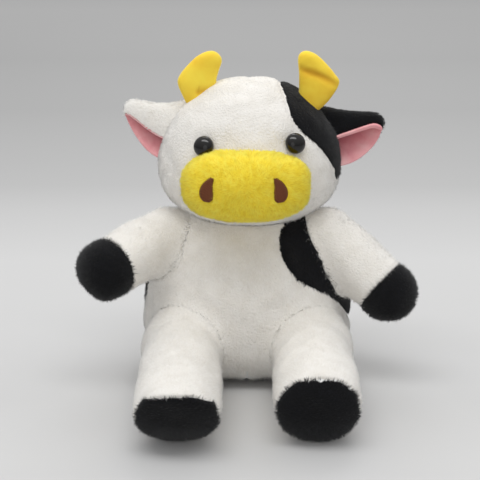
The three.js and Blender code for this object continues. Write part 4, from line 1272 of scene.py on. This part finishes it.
# The ear's cross-section walks up the back, over the fold and down the front, turning as it goes.
def earSheet(side, rows, columns):
    around = np.linspace(0, 1, columns)
    foldStart, foldEnd, curlStart = earStopShares
    middles = (around[1:] + around[:-1]) / 2
    made = np.empty((rows, columns, 3))
    for row, along in enumerate(np.linspace(0, 1, rows)):
        full = max(1 - along ** ear["leafPower"], 0) ** ear["tipPowers"][side]
        fold = ear["fold"] * (1 - ear["foldTaper"] * along) * (0.35 + 0.65 * math.sqrt(full))
        lengths = (max(ear["backDrop"] * full - fold, 1.0), fold * math.radians(ear["bend"]),
                   max(ear["flaps"][side] * (1 - along) ** ear["flapPowers"][side], 1.0),
                   ear["curlLengths"][side] * (0.4 + 0.8 * along) * math.sqrt(full) + 0.2)
        stops = (0, foldStart, foldEnd, curlStart, 1)
        folded = 90 + ear["bend"]
        heads = (90 - ear["cup"] * full, 90, folded, folded + ear["bulge"], folded + ear["bulge"] - ear["curls"][side])
        step = np.zeros(columns - 1)
        for length, low, high in zip(lengths, stops[:-1], stops[1:]):
            within = (middles >= low) & (middles < high)
            step[within] = length / within.sum()
        heading = np.radians(np.interp(middles, stops, heads))
        across = np.concatenate([[0], np.cumsum(np.cos(heading) * step)])
        rise = np.concatenate([[0], np.cumsum(np.sin(heading) * step)])
        top = int(np.argmax(rise))
        into = max(along - 1 + ear["tipRound"], 0) / ear["tipRound"]
        crest = -ear["sags"][side] * math.sin(math.pi * min(along / 0.8, 1))
        crest -= ear["tipDrop"] * (1 - math.sqrt(1 - into ** 2))
        made[row, :, 0] = sides[side] * along * ear["lengths"][side]
        made[row, :, 1] = across - across[top]
        made[row, :, 2] = rise - rise[top] + crest
    return made.reshape(-1, 3)


def makeEar(side, seed):
    rows, columns = ear["rows"], ear["columns"]
    middle = earSheet(side, rows, columns)
    around = np.tile(np.linspace(0, 1, columns), rows)
    along = np.repeat(np.linspace(0, 1, rows), columns)
    index = np.arange(rows * columns).reshape(rows, columns)
    faces = gridFaces(index[:-1, :-1], index[1:, :-1], index[1:, 1:], index[:-1, 1:])
    crosswise = np.gradient(middle.reshape(rows, columns, 3), axis=1).reshape(-1, 3)
    out = unit(np.cross(np.array([-1.0, 0, 0]), crosswise))
    if (faceNormals(middle, faces) * out[faces].mean(1)).sum() < 0:
        faces = faces[:, ::-1]
    root = headRim(side, math.radians(ear["angles"][side])) + np.array([-sides[side] * ear["sink"], ear["back"], 0])
    turn = sideways(-sides[side] * ear["rises"][side])
    place = lambda points: points @ turn.T + root
    body, name, colour = f"ear_{side}", f"ear{side.title()}", ear["colours"][side]
    # the lining rolls out past the pile cloth along both edges
    covered = (around[faces].min(1) > 0.6 / columns) & (around[faces].max(1) < earStopShares[2] + 0.02)
    outerTop, outerFaces, used = keepFaces(place(middle + out * (ear["gap"] + ear["pile"])), faces, covered)
    outerNormals = vertexNormals(outerTop, outerFaces)
    closed, closedFaces = thicken(outerTop, outerFaces, (out @ turn.T)[used], ear["pile"])
    outer = makeMesh(name, closed, closedFaces, colour + "Backing")
    settle(outer, body, [f"ear_outer_{side}"])
    skins = (outerTop, outerFaces, outerNormals)
    bare = lambda points: eggGap(headEgg, points) < -hiddenDepth
    brush = evenBrush((sides[side] * 1.0, 0, -0.3))
    pile = growPile(name + "Pile", skins, pileLooks["ear"], colour + "Pile", brush, bare, seed)
    settle(pile, body)
    rim = np.clip(np.minimum(around, 1 - around) * columns / 1.5, 0, 1) * np.clip((1 - along) * rows / 1.5, 0, 1)
    rounded = np.sqrt(1 - (1 - np.maximum(rim, 0.02)) ** 2)
    half = ear["lining"] / 2
    top = place(middle - out * (ear["gap"] + half * (1 - rounded))[:, None])
    inner, innerFaces = thicken(top, faces, out @ turn.T, (2 * half * rounded)[:, None])
    lining = makeMesh(name + "Lining", inner, innerFaces, "earVelvet")
    # painted shade in the lining's cup, fading towards the ear's tip
    deep = np.interp(around, *earCupShadeShares) * np.sqrt(1 - along)
    corner = innerFaces.ravel() % len(deep)
    addMap(lining, np.full(len(corner), 0.5), deep[corner] * 0.96 + 0.02)
    settle(lining, body, [f"ear_lining_{side}"])


# Tail: a thin stuffed tube that ends in a black tuft

tail = {"root": 5.4, "radius": 4.2, "back": 16, "drop": 20, "aside": 4, "tuftLength": 22, "tuftRadius": 6.4,
        "flare": 0.16, "segments": 30, "tuftRows": 26, "tuftSegments": 40, "tuftLook": {"length": 4.0, "tilt": 1.6}}
tailRouteShares = [(0, 0, 0), (0, 0.5, 0.02), (0.4, 0.9, 0.4), (1, 1, 1)]


def makeTail():
    size = np.array([tail["aside"], tail["back"], -tail["drop"]])
    path = curveThrough(np.array(tailRouteShares) * size, 14, closed=False) + pivots["tail"]
    share = np.linspace(0, 1, len(path))
    radii = tail["radius"] - skinInset + (tail["root"] - tail["radius"]) * np.exp(-((share / tail["flare"]) ** 2))
    radii[0] = radii[0] * 0.7
    points, faces = tube(path, radii, tail["segments"])
    faces = turnedOut(points, faces)
    settle(makeMesh("tailSkin", points, faces, "whiteBacking"), "tail", ["tail"])
    brush = evenBrush((0.1, 0.5, -0.8))
    bare = lambda points: eggGap(torsoEgg, points) < -hiddenDepth
    skins = (points, faces, vertexNormals(points, faces))
    settle(growPile("tailPile", skins, pileLooks["ear"], "whitePile", brush, bare, 61), "tail")
    rise = np.linspace(0, 1, tail["tuftRows"])
    fullness = np.maximum(np.sin(math.pi * rise ** 0.8), 0) ** 0.75
    points, faces = turnedForm(tail["tuftRadius"] * fullness, -tail["tuftLength"] * (1 - rise), tail["tuftSegments"])
    faces = turnedOut(points, faces)
    points = points + path[-1] - np.array([0, 0, 0.3])
    settle(makeMesh("tailTuft", points, faces, "blackBacking"), "tail", ["tail_tuft"])
    skins = (points, faces, vertexNormals(points, faces))
    look = {**pileLooks["black"], **tail["tuftLook"]}
    settle(growPile("tailTuftPile", skins, look, "blackPile", brushedDown, None, 62), "tail")


makeTorso()
print("torso made")
makeHead()
print("head made")
makeMuzzle()
for side in sides:
    makeNostril(side)
    makeEye(side)
    makeHorn(side)
print("face made")
for side, seed in (("left", 71), ("right", 75)):
    makeEar(side, seed)
for kind, side, seed in (("arm", "left", 31), ("arm", "right", 35), ("leg", "left", 41), ("leg", "right", 45)):
    makeLimb(kind, side, seed)
makeTail()
print("limbs, ears and tail made")


# Finish

hiddenFinishes = {"stuffing": "fibre", "pellet_bag": "cotton", "washer": "nylon"}
for node, inner in frame["nodes"].items():
    for word, finish in hiddenFinishes.items():
        if word in node:
            inner.data.materials.clear()
            inner.data.materials.append(finishes[finish])
